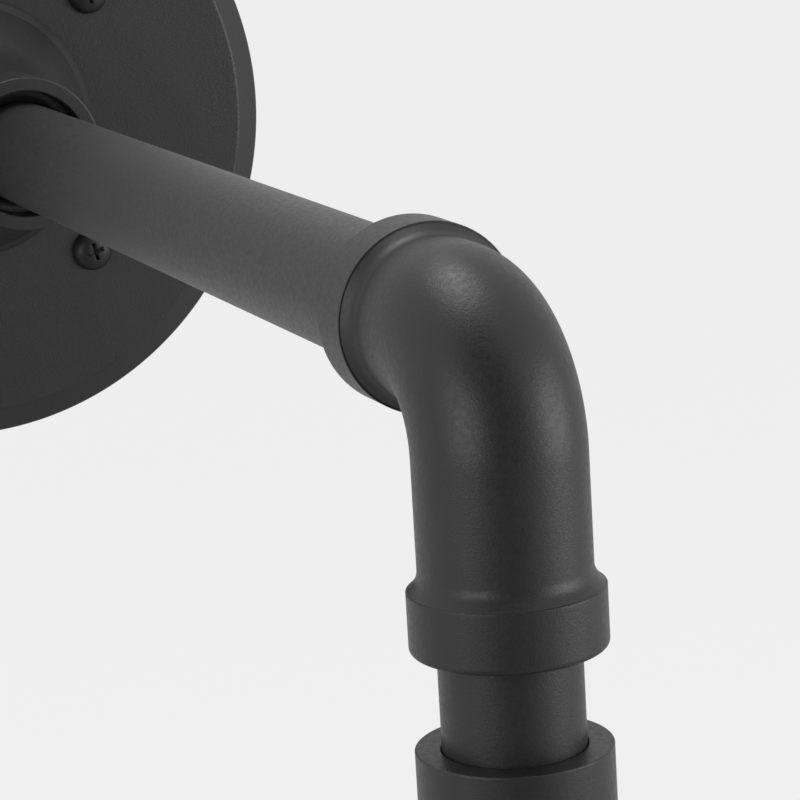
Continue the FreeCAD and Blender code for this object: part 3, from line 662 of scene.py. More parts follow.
@dataclass(frozen=True)
class BareMetal(Finish):
    """Plain or plated metal with a slight bloom and fine scratches.

    Args:
        label: the material's name.
        metal: which metal.
        roughness: the shader's mean roughness.
    """

    metal: Metal
    roughness: float

    def sockets(self, builder: NodeBuilder) -> dict[str, object]:
        """The metal's bloom and its fine marks.

        Args:
            builder: the material's tree.

        Returns:
            What each of the shader's sockets takes.
        """
        marks = builder.noise(2400.0, 3.0, 0.6)
        return {
            "Base Color": builder.drift(self.metal.value, 160.0, 4.0, 0.82),
            "Roughness": builder.spread(marks, self.roughness - 0.06, self.roughness + 0.1),
            "Normal": builder.relief(marks, 0.6, 0.006 * MM),
            "Metallic": 1.0,
        }


@dataclass(frozen=True)
class BlackOxide(Finish):
    """The dark, slightly glossy finish of blackened steel screws.

    Args:
        label: the material's name.
        roughness: the shader's mean roughness.
    """

    roughness: float = 0.46

    def sockets(self, builder: NodeBuilder) -> dict[str, object]:
        """The steel's blotched black surface.

        Args:
            builder: the material's tree.

        Returns:
            What each of the shader's sockets takes.
        """
        blotch = builder.spread(builder.noise(700.0, 4.0), 0.0, 1.0)
        dull, bright = self.roughness + 0.1, self.roughness - 0.04
        return {
            "Base Color": builder.tinted(blotch, (0.006, 0.006, 0.0065), (0.011, 0.011, 0.0115)),
            "Roughness": builder.spread(blotch, dull, bright, (0.0, 1.0)),
            "Normal": builder.relief(blotch, 0.5, 0.01 * MM),
        }


@dataclass(frozen=True)
class MouldedPlastic(Finish):
    """Moulded plastic or extruded insulation.

    Args:
        label: the material's name.
        colour: which moulding.
        roughness: the shader's mean roughness.
    """

    colour: Moulding
    roughness: float

    def sockets(self, builder: NodeBuilder) -> dict[str, object]:
        """The plastic's faint flow marks and spark-eroded texture.

        Args:
            builder: the material's tree.

        Returns:
            What each of the shader's sockets takes.
        """
        texture = builder.noise(1900.0, 2.0)
        return {
            "Base Color": builder.drift(self.colour.value, 90.0, 2.0, 0.88),
            "Roughness": builder.spread(texture, self.roughness - 0.04, self.roughness + 0.06),
            "Normal": builder.relief(texture, 0.4, 0.01 * MM),
        }


@dataclass(frozen=True)
class BlownGlass(Finish):
    """Clear blown glass with the faintest waviness.

    Args:
        label: the material's name.
        tint: the glass's own colour.
    """

    tint: Colour = (0.985, 0.99, 0.985)

    def sockets(self, builder: NodeBuilder) -> dict[str, object]:
        """A clear shader, with a slow wave in its surface.

        Args:
            builder: the material's tree.

        Returns:
            What each of the shader's sockets takes.
        """
        return {
            "Base Color": builder.drift(self.tint, 20.0, 1.0, 0.985),
            "Normal": builder.relief(builder.noise(45.0, 1.0), 0.3, 0.03 * MM),
            "Transmission Weight": 1.0,
            "Roughness": 0.0,
            "IOR": 1.46,
        }


@dataclass(frozen=True)
class Phosphor(Finish):
    """The amber silicone skin of a filament stick, unlit."""

    def sockets(self, builder: NodeBuilder) -> dict[str, object]:
        """The stick's uneven amber and its soft depth.

        Args:
            builder: the material's tree.

        Returns:
            What each of the shader's sockets takes.
        """
        grain = builder.spread(builder.noise(1500.0, 3.0), 0.0, 1.0)
        return {
            "Base Color": builder.tinted(grain, (0.78, 0.40, 0.05), (0.95, 0.60, 0.12)),
            "Normal": builder.relief(grain, 0.5, 0.05 * MM),
            "Roughness": 0.45,
            "Subsurface Weight": 0.3,
            "Subsurface Radius": (0.0012, 0.0007, 0.0003),
        }


COAT = PowderCoat("powder coat")
OXIDE = BlackOxide("black oxide")
ZINC = BareMetal("zinc plate", Metal.ZINC, 0.34)
BRASS = BareMetal("plain brass", Metal.BRASS, 0.3)
NICKEL = BareMetal("nickel plate", Metal.NICKEL, 0.22)
SOLDER = BareMetal("solder", Metal.SOLDER, 0.42)
WIRE = BareMetal("support wire", Metal.NICKEL, 0.3)
BLACK_PLASTIC = MouldedPlastic("black moulding", Moulding.BLACK, 0.42)
BLOCK_PLASTIC = MouldedPlastic("ivory moulding", Moulding.IVORY, 0.38)
LIVE = MouldedPlastic("black insulation", Moulding.BLACK, 0.3)
NEUTRAL = MouldedPlastic("white insulation", Moulding.WHITE, 0.32)
EARTH = MouldedPlastic("green insulation", Moulding.GREEN, 0.32)
GREEN_STEEL = MouldedPlastic("green dyed steel", Moulding.GREEN, 0.25)
VITREOUS = MouldedPlastic("vitreous black", Moulding.VITREOUS, 0.12)
GLASS = BlownGlass("clear glass")
PHOSPHOR = Phosphor("amber phosphor")


# ---- Pieces in place of their nodes ----


def dressed(piece: Piece, body: Body, node: str) -> None:
    """Rides a piece on its body, in place of the node that it stands for, and logs it.

    Args:
        piece: the new piece.
        body: the body that it moves with.
        node: the node that it stands for.
    """
    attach(piece, body.value)
    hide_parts(node)
    LOG.info("%s stands for %s, %d faces", piece.name, node, len(piece.data.polygons))


def coated(
    name: str,
    node: str,
    profile: Profile,
    path: Sequence[Sequence[float]],
    sides: int = 128,
    bend: float = 0.0,
) -> None:
    """Makes a powder-coated piece on the lathe, in place of its node."""
    piece = LATHE.make(name, profile, path, COAT.material(), sides, bend)
    dressed(piece, Body.LAMP, node)


def softened(node: str, material: bpy.types.Material, edge: float) -> Piece:
    """A copy of a plain node with its edges broken.

    Args:
        node: the node that the copy stands for.
        material: its finish.
        edge: the width of the broken edges.

    Returns:
        The new piece, whose bevel is part of its mesh.
    """
    mesh = bpy.data.objects[node].data.copy()
    mesh.materials.clear()
    mesh.materials.append(material)
    shell = bmesh.new()
    shell.from_mesh(mesh)
    bmesh.ops.remove_doubles(shell, verts=shell.verts, dist=SAME_POINT)
    flat = math.radians(1.0)
    bmesh.ops.dissolve_limit(shell, angle_limit=flat, verts=shell.verts, edges=shell.edges)
    shell.to_mesh(mesh)
    shell.free()
    mesh.shade_smooth()
    holder = placed(node + "_plain", mesh)
    bevel = holder.modifiers.new("edges", "BEVEL")
    bevel.limit_method = "ANGLE"
    bevel.angle_limit = math.radians(35)
    bevel.width = edge
    bevel.segments = 2
    bevel.use_clamp_overlap = True
    holder.modifiers.new("shading", "WEIGHTED_NORMAL").keep_sharp = True
    return placed(node + "_finished", applied(holder))


def refinished(rows: Sequence[tuple[str, Finish, str, float]], body: Body = Body.LAMP) -> None:
    """Puts softened, finished copies in the place of plain nodes.

    Args:
        rows: each node, its finish, its material slot, and its broken edges' width in mm.
        body: the body that they move with.
    """
    for node, finish, slot, edge in rows:
        dressed(softened(node, finish.material(), edge * MM), body, node)


# ---- The light's own parts ----


@dataclass
class Pipework:
    """The arm, the elbow and the drop pipe.

    Args:
        pipe: the pipes' outer radius.
        bore: the pipes' inner radius.
        pipe_edge: the rounding of the pipes' ends.
        body: the elbow body's radius.
        band: the elbow bands' radius.
        band_length: the length of each band.
        bend: the radius of the elbow's centre line.
        arm_straight: elbow body between the arm's band and the bend.
        drop_straight: elbow body between the bend and the lower band.
        ledge: the width of the flat ledge inside a band's edge.
        ledge_round: the rounding of the ledge's inner edge.
        slope: the length of the hollow slope from the ledge to the body.
        slope_round: the slope's hollow.
        rim: the rounding of a band's edges beside the elbow's body.
        end_round: the rounding of a band's outer end.
        mouth_round: the rounding of a band's mouth.
        play: the radial play between a pipe and its hole.
        grip: how far a pipe goes into the elbow.
        ring_step: the longest stretch of elbow without a ring.
    """

    pipe: float = 8.6 * MM
    bore: float = 7.0 * MM
    pipe_edge: float = 0.35 * MM
    body: float = 10.35 * MM
    band: float = 11.8 * MM
    band_length: float = 7.4 * MM
    bend: float = 13.0 * MM
    arm_straight: float = 5.9 * MM
    drop_straight: float = 15.7 * MM
    ledge: float = 0.25 * MM
    ledge_round: float = 0.05 * MM
    slope: float = 1.5 * MM
    slope_round: float = 3.0 * MM
    rim: float = 0.13 * MM
    end_round: float = 0.7 * MM
    mouth_round: float = 0.2 * MM
    play: float = 0.06 * MM
    grip: float = 11.0 * MM
    ring_step: float = 0.35 * MM

    def build(self) -> None:
        """Builds the three pieces."""
        self.elbow()
        self.pipe_piece("arm_tube", "arm_pipe")
        self.pipe_piece("drop_tube", "drop_pipe")

    def elbow(self) -> None:
        """The banded elbow, from the arm's band, round the bend, down to the lower band's end."""
        back_y = LEG_Y + self.bend + self.arm_straight + self.band_length
        foot_z = -self.bend - self.drop_straight - self.band_length
        path = [(0, back_y, 0), (0, LEG_Y, 0), (0, LEG_Y, foot_z)]
        turn = self.bend * math.pi / 2
        low_ledge = self.band_length + self.arm_straight + turn + self.drop_straight
        end = low_ledge + self.band_length
        hole = self.pipe + self.play
        corners = [
            (0.0, self.band, self.end_round),
            (self.band_length, self.band, self.rim),
            (self.band_length, self.band - self.ledge, self.ledge_round),
            (self.band_length + self.slope, self.body, self.slope_round),
            (low_ledge - self.slope, self.body, self.slope_round),
            (low_ledge, self.band - self.ledge, self.ledge_round),
            (low_ledge, self.band, self.rim),
            (end, self.band, self.end_round),
            (end, hole, self.mouth_round),
            (end - self.grip, hole, 0.0),
            (end - self.grip, self.bore, 0.0),
            (self.grip, self.bore, 0.0),
            (self.grip, hole, 0.0),
            (0.0, hole, self.mouth_round),
        ]
        profile = Profile(corners, long_step=self.ring_step)
        coated("elbow_casting", "elbow", profile, path, 160, self.bend)

    def pipe_piece(self, name: str, node: str) -> None:
        """One straight pipe, along the longest side of its node's box.

        Args:
            name: the new piece's name.
            node: the pipe's node.
        """
        low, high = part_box(node)
        start, finish = (low + high) / 2, (low + high) / 2
        way = 1 if high.y - low.y > high.z - low.z else 2
        start[way], finish[way] = high[way], low[way]
        length, edge = high[way] - low[way], self.pipe_edge
        corners = [
            (0.0, self.pipe, edge),
            (length, self.pipe, edge),
            (length, self.bore, edge),
            (0.0, self.bore, edge),
        ]
        coated(name, node, Profile(corners), [start, finish])


@dataclass
class WallScrews:
    """The screws that hold the flange to the wall, placed on their circle by a tree.

    Args:
        seat: how far the heads' undersides stand from the wall.
        circle: the radius of the screws' circle.
        first: the first screw's angle from +X, in degrees.
        count: how many screws.
        head: the heads' radius.
        head_height: the heads' height.
        shank: the shanks' radius, over the thread.
        length: the shanks' length.
        pitch: the thread's pitch.
        crown: the power of a cosine that gives the dome its shape; less is squarer.
        recess: the cross recess's reach, width and depth, the first two as shares of the
            head's radius and the last of its height.
        recess_lift: where the middle of the recess's blades is, as a share of the height.
        core: the core's radius, as a share of the shank's.
        thread_from: the share of the shank that has no thread.
        point: how steep the point is.
        spin: how much further each screw is turned, in radians.
    """

    seat: float
    circle: float = 34.2 * MM
    first: float = 41.4
    count: int = 4
    head: float = 3.8 * MM
    head_height: float = 2.6 * MM
    shank: float = 2.0 * MM
    length: float = 34.0 * MM
    pitch: float = 1.8 * MM
    crown: float = 0.62
    recess: Corner = (0.9, 0.2, 1.1)
    recess_lift: float = 1.05
    core: float = 0.7
    thread_from: float = 0.3
    point: float = 7.0
    spin: float = 0.61

    def build(self) -> None:
        """Builds the screws as one piece."""
        sizes = {
            "Circle Radius": self.circle,
            "First Angle": math.radians(self.first),
            "Seat": self.seat,
            "Head Radius": self.head,
            "Head Height": self.head_height,
            "Shank Radius": self.shank,
            "Shank Length": self.length,
            "Thread Pitch": self.pitch,
        }
        tree = self.tree(sizes)
        values = {**sizes, "Count": self.count, "Material": OXIDE.material()}
        piece = grown("wall_screws", line_mesh("screw_seed", [(0, 0, 0)]), tree, values)
        dressed(piece, Body.LAMP, "flange_screws")

    def tree(self, sizes: Iterable[str]) -> bpy.types.NodeTree:
        """The tree that puts domed, threaded screws on a circle that faces along -Y.

        Args:
            sizes: the names of the inputs for the circle's, the head's and the shank's sizes.

        Returns:
            The tree.
        """
        inputs = {**dict.fromkeys(sizes, "Float"), "Count": "Int"}
        tree = GeometryTree("screws on a circle", inputs)
        given = tree.given
        screw = tree.node("GeometryNodeJoinGeometry")
        for part in (self.threaded_shank(tree), self.dome(tree)):
            tree.feed(screw.inputs[0], part)
        points = tree.node("GeometryNodePoints", {"Count": given["Count"]}).outputs[0]
        index = tree.node("GeometryNodeInputIndex").outputs[0]
        turn = tree.times(tree.math("DIVIDE", index, given["Count"]), math.tau)
        angle = tree.math("ADD", turn, given["First Angle"])
        x, z = (
            tree.times(tree.math(kind, angle), given["Circle Radius"])
            for kind in ("COSINE", "SINE")
        )
        spots = tree.moved(points, tree.point(x, tree.times(given["Seat"], -1.0), z))
        facing, twist = (
            tree.node("FunctionNodeAxisAngleToRotation", {"Axis": axis, "Angle": by}).outputs[0]
            for axis, by in (
                ((1.0, 0.0, 0.0), math.pi / 2),
                ((0.0, 0.0, 1.0), tree.times(index, self.spin)),
            )
        )
        inputs = {"Rotation": facing, "Rotate By": twist}
        turned = tree.node("FunctionNodeRotateRotation", inputs, rotation_space="LOCAL")
        inputs = {"Points": spots, "Instance": screw.outputs[0], "Rotation": turned.outputs[0]}
        return tree.end(tree.node("GeometryNodeInstanceOnPoints", inputs).outputs[0])

    def dome(self, tree: GeometryTree) -> Socket:
        """A domed screw head on +Z with a cross recess, its underside at the origin.

        Args:
            tree: the tree to add it to, whose inputs give its sizes.

        Returns:
            The head's mesh.
        """
        radius, height = tree.given["Head Radius"], tree.given["Head Height"]
        rings, sides = 18, 48
        grid, ring, angle = tree.tube(rings, sides)
        above = tree.math("MAXIMUM", tree.math("SUBTRACT", ring, 1.0), 0.0)
        climb = tree.times(above, math.pi / 2 / (rings - 2))
        swell = tree.math("POWER", tree.math("COSINE", climb), self.crown)
        out = tree.times(tree.times(swell, tree.math("MINIMUM", ring, 1.0)), radius)
        out = tree.math("MAXIMUM", out, 0.0)
        up = tree.times(tree.math("SINE", climb), height)
        head = tree.skin(grid, tree.polar(out, angle, up))
        reach, width = (tree.times(radius, share) for share in self.recess[:2])
        depth = tree.times(height, self.recess[2])
        lift = tree.point(0.0, 0.0, tree.times(height, self.recess_lift))
        for across, along in ((reach, width), (width, reach)):
            size = {"Size": tree.point(across, along, depth)}
            blade = tree.node("GeometryNodeMeshCube", size).outputs["Mesh"]
            inputs = {"Geometry": blade, "Translation": lift}
            blade = tree.node("GeometryNodeTransform", inputs).outputs[0]
            cut = tree.node(
                "GeometryNodeMeshBoolean", {"Mesh 1": head}, operation="DIFFERENCE", solver="EXACT"
            )
            tree.feed(cut.inputs["Mesh 2"], blade)
            head = cut.outputs["Mesh"]
        return head

    def threaded_shank(self, tree: GeometryTree) -> Socket:
        """A threaded, pointed shank down -Z from the origin.

        Args:
            tree: the tree to add it to, whose inputs give its sizes.

        Returns:
            The shank's mesh.
        """
        rings, sides = 180, 24
        grid, ring, angle = tree.tube(rings, sides)
        share = tree.math("DIVIDE", ring, rings - 1.0)
        down = tree.times(share, tree.given["Shank Length"])
        turns = tree.math("DIVIDE", down, tree.given["Thread Pitch"])
        phase = tree.math("ADD", tree.times(turns, math.tau), angle)
        wave = tree.math("ADD", tree.times(tree.math("COSINE", phase), 0.5), 0.5)
        crest = tree.times(tree.math("POWER", wave, 4.0), 1.0 - self.core)
        thread = tree.times(crest, tree.math("GREATER_THAN", share, self.thread_from))
        taper = tree.times(tree.math("SUBTRACT", 1.0, share), self.point)
        taper = tree.math("MINIMUM", taper, 1.0)
        out = tree.times(tree.math("ADD", thread, self.core), taper)
        out = tree.times(out, tree.given["Shank Radius"])
        out = tree.times(out, tree.math("GREATER_THAN", ring, 0.5))
        return tree.skin(grid, tree.polar(out, angle, tree.times(down, -1.0)))


@dataclass
class WallSide:
    """The wall flange with its hub and screws, and the wiring pieces in the flange's back.

    Args:
        rim: the flange's outer radius.
        depth: how far the flange's face stands from the wall.
        face_wall: the thickness of its face.
        rim_wall: the thickness of its rim.
        bevel_width: the bevel's width across the face.
        bevel_drop: the bevel's depth.
        bevel_round: the rounding of the bevel's edges.
        wire_hole: the radius of the hole in its middle.
        edge: the rounding of the plain edges.
        hub_length: the hub's length.
        hub_foot: the radius of the hub's foot.
        hub_foot_height: the height of the foot, up to the flare.
        hub_foot_chamfer: the width of the foot's chamfer.
        hub_waist: the radius of the flare's waist.
        hub_waist_at: the waist's height above the foot.
        hub_wall: the flare's wall.
        hub_neck: the radius of the hub's neck.
        hub_band: the radius of the band that grips the pipe.
        hub_band_length: the band's length.
        hub_mouth: the radius of the band's open mouth round the pipe.
        hub_mouth_depth: the mouth's depth.
        hub_pipe_start: from the hub's foot to the end of the pipe in it.
        hub_bore: the radius of the hub's hole for the pipe.
        bush_seat: the radius of the seat for the pipe's bush.
        bush_seat_depth: the seat's depth.
        pipe_stop: the thickness of the wall that the pipe stops at.
        lead_hole: the radius of the hole for the leads.
        ring_step: the longest stretch without a ring.
    """

    rim: float = 58.7 * MM
    depth: float = 12.0 * MM
    face_wall: float = 4.0 * MM
    rim_wall: float = 4.5 * MM
    bevel_width: float = 4.8 * MM
    bevel_drop: float = 3.2 * MM
    bevel_round: float = 1.2 * MM
    wire_hole: float = 18.0 * MM
    edge: float = 0.3 * MM
    hub_length: float = 44.3 * MM
    hub_foot: float = 24.2 * MM
    hub_foot_height: float = 2.6 * MM
    hub_foot_chamfer: float = 1.4 * MM
    hub_waist: float = 14.3 * MM
    hub_waist_at: float = 14.5 * MM
    hub_wall: float = 3.2 * MM
    hub_neck: float = 11.5 * MM
    hub_band: float = 13.2 * MM
    hub_band_length: float = 12.0 * MM
    hub_mouth: float = 10.8 * MM
    hub_mouth_depth: float = 5.0 * MM
    hub_pipe_start: float = 24.3 * MM
    hub_bore: float = 8.66 * MM
    bush_seat: float = 8.2 * MM
    bush_seat_depth: float = 1.2 * MM
    pipe_stop: float = 2.5 * MM
    lead_hole: float = 7.0 * MM
    ring_step: float = 4.0 * MM

    def build(self) -> None:
        """Builds the flange, the hub, the screws and the wiring pieces."""
        self.flange()
        self.hub()
        WallScrews(self.depth).build()
        self.fittings()

    def flange(self) -> None:
        """The dished flange with its bevelled rim."""
        back = self.depth - self.face_wall
        inside = self.rim - self.rim_wall
        corners = [
            (back, self.wire_hole, self.edge),
            (self.depth, self.wire_hole, self.edge),
            (self.depth, self.rim - self.bevel_width, self.bevel_round),
            (self.depth - self.bevel_drop, self.rim, self.bevel_round),
            (0.0, self.rim, self.edge),
            (0.0, inside, self.edge),
            (back, inside, 1.0 * MM),
        ]
        profile = Profile(corners, long_step=self.ring_step)
        coated("flange_plate", "wall_flange", profile, [(0, 0, 0), (0, -self.depth * 2, 0)], 224)

    def hub(self) -> None:
        """The flared hub, hollow for the wiring."""
        start = self.hub_length - self.hub_band_length
        floor = self.hub_length - self.hub_mouth_depth
        seat = self.hub_pipe_start
        shoulder = seat - self.pipe_stop
        corners = [
            (seat, self.hub_bore, 0.0),
            (floor, self.hub_bore, 0.0),
            (floor, self.hub_mouth, self.edge),
            (self.hub_length, self.hub_mouth, self.edge),
            (self.hub_length, self.hub_band, self.edge),
            (start, self.hub_band, 0.2 * MM),
            (start, self.hub_neck, 1.1 * MM),
            (self.hub_waist_at, self.hub_waist, 18.0 * MM),
            (self.hub_foot_height, self.hub_foot - self.hub_foot_chamfer, 0.5 * MM),
            (self.hub_foot_height / 2, self.hub_foot, 0.4 * MM),
            (0.0, self.hub_foot, 0.2 * MM),
            (0.0, self.wire_hole, 0.0),
            (self.hub_waist_at, self.hub_waist - self.hub_wall, 12.0 * MM),
            (shoulder - self.bush_seat_depth, self.bush_seat, 0.0),
            (shoulder, self.bush_seat, 0.0),
            (shoulder, self.lead_hole, 0.0),
            (seat, self.lead_hole, 0.0),
        ]
        profile = Profile(corners, 12, self.ring_step)
        path = [(0, -self.depth, 0), (0, -self.depth - self.hub_length * 1.5, 0)]
        coated("flared_hub", "flange_hub", profile, path, 144)

    def fittings(self) -> None:
        """The small pieces behind the flange and in the hub, with their edges broken."""
        refinished([
            ("hub_screws", ZINC, "zinc_steel", 0.12),
            ("hub_set_screw", OXIDE, "black_screw", 0.1),
            ("terminal_bracket", ZINC, "zinc_steel", 0.2),
            ("bracket_screws", ZINC, "zinc_steel", 0.1),
            ("terminal_block", BLOCK_PLASTIC, "block_plastic", 0.3),
            ("terminal_screws", ZINC, "zinc_steel", 0.1),
            ("earth_screw", GREEN_STEEL, "green_screw", 0.12),
            ("earth_washer", ZINC, "zinc_steel", 0.12),
            ("pipe_bush", BLACK_PLASTIC, "black_plastic", 0.1),
            ("live_lead", LIVE, "live_insulation", 0.0),
            ("neutral_lead", NEUTRAL, "neutral_insulation", 0.0),
            ("earth_lead", EARTH, "earth_insulation", 0.0),
        ])


@dataclass
class LampHead:
    """The cup on the drop pipe and the lampholder in it.

    Args:
        cup: the cup's radius.
        wall: the cup's wall.
        neck: the radius of the cup's band.
        band_length: the length of that band.
        shoulder: the height of the sloping shoulder.
        bead: how far the mouth's bead stands out.
        bead_height: the bead's height.
        pipe_hole: the radius of the hole for the drop pipe.
        pipe_depth: how far the hole goes in.
        web: the thickness of the web under it.
        nipple_hole: the radius of the hole in the web.
    """

    cup: float = 20.0 * MM
    wall: float = 2.0 * MM
    neck: float = 11.8 * MM
    band_length: float = 9.0 * MM
    shoulder: float = 12.0 * MM
    bead: float = 1.2 * MM
    bead_height: float = 4.0 * MM
    pipe_hole: float = 8.66 * MM
    pipe_depth: float = 13.0 * MM
    web: float = 3.0 * MM
    nipple_hole: float = 5.06 * MM

    def build(self) -> None:
        """Builds the cup and the lampholder's pieces."""
        self.lamp_cup()
        refinished([
            ("cup_nipple", ZINC, "zinc_steel", 0.1),
            ("cup_locknut", ZINC, "zinc_steel", 0.25),
            ("holder_cap", BLACK_PLASTIC, "black_plastic", 0.1),
            ("holder_body", BLACK_PLASTIC, "black_plastic", 0.25),
            ("holder_terminals", BRASS, "brass", 0.15),
            ("screw_shell", BRASS, "brass", 0.08),
            ("centre_contact", BRASS, "brass", 0.08),
        ])

    def lamp_cup(self) -> None:
        """The turned cup."""
        low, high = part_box("lamp_cup")
        length = high.z - low.z
        slope_end = self.band_length + self.shoulder
        web_end = self.pipe_depth + self.web
        mouth = length - self.bead_height
        inside = self.cup - self.wall
        corners = [
            (0.0, self.pipe_hole, 0.25 * MM),
            (0.0, self.neck, 0.2 * MM),
            (self.band_length, self.neck, 0.7 * MM),
            (slope_end, self.cup, 4.0 * MM),
            (mouth, self.cup, 0.35 * MM),
            (mouth, self.cup + self.bead, 0.3 * MM),
            (length, self.cup + self.bead, 0.6 * MM),
            (length, inside, 0.4 * MM),
            (max(slope_end, web_end) + self.wall, inside, self.wall / 2),
            (web_end, self.neck + self.wall, 0.0),
            (web_end, self.nipple_hole, 0.0),
            (self.pipe_depth, self.nipple_hole, 0.0),
            (self.pipe_depth, self.pipe_hole, 0.0),
        ]
        profile = Profile(corners, 9, 5.0 * MM)
        path = [(0, LEG_Y, high.z), (0, LEG_Y, low.z)]
        coated("lamp_cup_shell", "lamp_cup", profile, path, 144)


@dataclass
class Bulb:
    """The screw-in filament bulb.

    Args:
        neck: the radius of the glass at the cap.
        ball: the radius of the glass's round end.
        wall: the thickness of the glass.
        neck_shows: how far the straight neck comes out of the cap.
        neck_round: the hollow between the neck and the flare.
    """

    neck: float = 12.3 * MM
    ball: float = 32.0 * MM
    wall: float = 0.9 * MM
    neck_shows: float = 3.0 * MM
    neck_round: float = 8.0 * MM

    def build(self) -> None:
        """Builds the glass, the cap and what is in the glass."""
        self.glass()
        refinished(
            [
                ("bulb_cap", NICKEL, "nickel_cap", 0.0),
                ("bulb_insulator", VITREOUS, "bulb_insulator", 0.2),
                ("bulb_tip", SOLDER, "tip_metal", 0.0),
            ],
            Body.BULB_BASE,
        )
        refinished(
            [
                ("bulb_stem", GLASS, "stem_glass", 0.0),
                ("filaments", PHOSPHOR, "filament", 0.3),
                ("filament_supports", WIRE, "support_wire", 0.0),
            ],
            Body.BULB_ENVELOPE,
        )

    def outline(self, inset: float, top: float, length: float) -> list[tuple[float, float]]:
        """Half outline of the glass, from its neck's edge to its lowest point.

        Args:
            inset: how far inside the outer face.
            top: where the neck starts, before 0 at the cap's edge.
            length: from the cap's edge to the lowest point.

        Returns:
            Distance along and radius out of each point.
        """
        neck, ball = self.neck - inset, self.ball - inset
        centre = length - self.ball
        start = Vector((self.neck_shows, neck))
        to_centre = Vector((centre, 0.0)) - start
        lean = math.asin(ball / to_centre.length)
        heading = math.atan2(to_centre.y, to_centre.x) + lean
        run = to_centre.length * math.cos(lean)
        touch = start + Vector((math.cos(heading), math.sin(heading))) * run
        corners = [(top, neck, 0.0), (*start, self.neck_round), (*touch, 0.0)]
        flare = Profile(corners, arc_steps=10).points()[:-1]
        first = math.atan2(touch.y, touch.x - centre)
        steps = 40
        angles = [first * (1 - step / steps) for step in range(1, steps + 1)]
        return flare + [(centre + ball * math.cos(a), ball * math.sin(a)) for a in angles]

    def glass(self) -> None:
        """The blown glass, both faces of its wall."""
        low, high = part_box("bulb_glass")
        cap_low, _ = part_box("bulb_cap")
        top, length = cap_low.z - high.z, cap_low.z - low.z
        outer, inner = (self.outline(inset, top, length) for inset in (0.0, self.wall))
        corners = [(along - top, max(out, 0.0), 0.0) for along, out in [*outer, *reversed(inner)]]
        profile = Profile(corners, long_step=3.0 * MM)
        path = [(0, LEG_Y, high.z), (0, LEG_Y, low.z - 10 * MM)]
        piece = LATHE.make("bulb_envelope_glass", profile, path, GLASS.material(), 144)
        dressed(piece, Body.BULB_ENVELOPE, "bulb_glass")


# ---- Studio ----


@dataclass(frozen=True)
class Softbox:
    """A square studio light that faces a point.

    Args:
        label: the light's name.
        place: where it stands.
        aim: what it faces.
        side: the length of its sides.
        power: its strength in watts.
    """

    label: str
    place: Corner
    aim: Corner
    side: float
    power: float

    def build(self) -> None:
        """Adds the light to the scene."""
        lamp = bpy.data.lights.new(self.label, "AREA")
        lamp.shape = "SQUARE"
        lamp.size = self.side
        lamp.energy = self.power
        holder = bpy.data.objects.new(self.label, lamp)
        bpy.context.scene.collection.objects.link(holder)
        holder.location = self.place
        toward = Vector(self.aim) - Vector(self.place)
        holder.rotation_euler = toward.to_track_quat("-Z", "Y").to_euler()


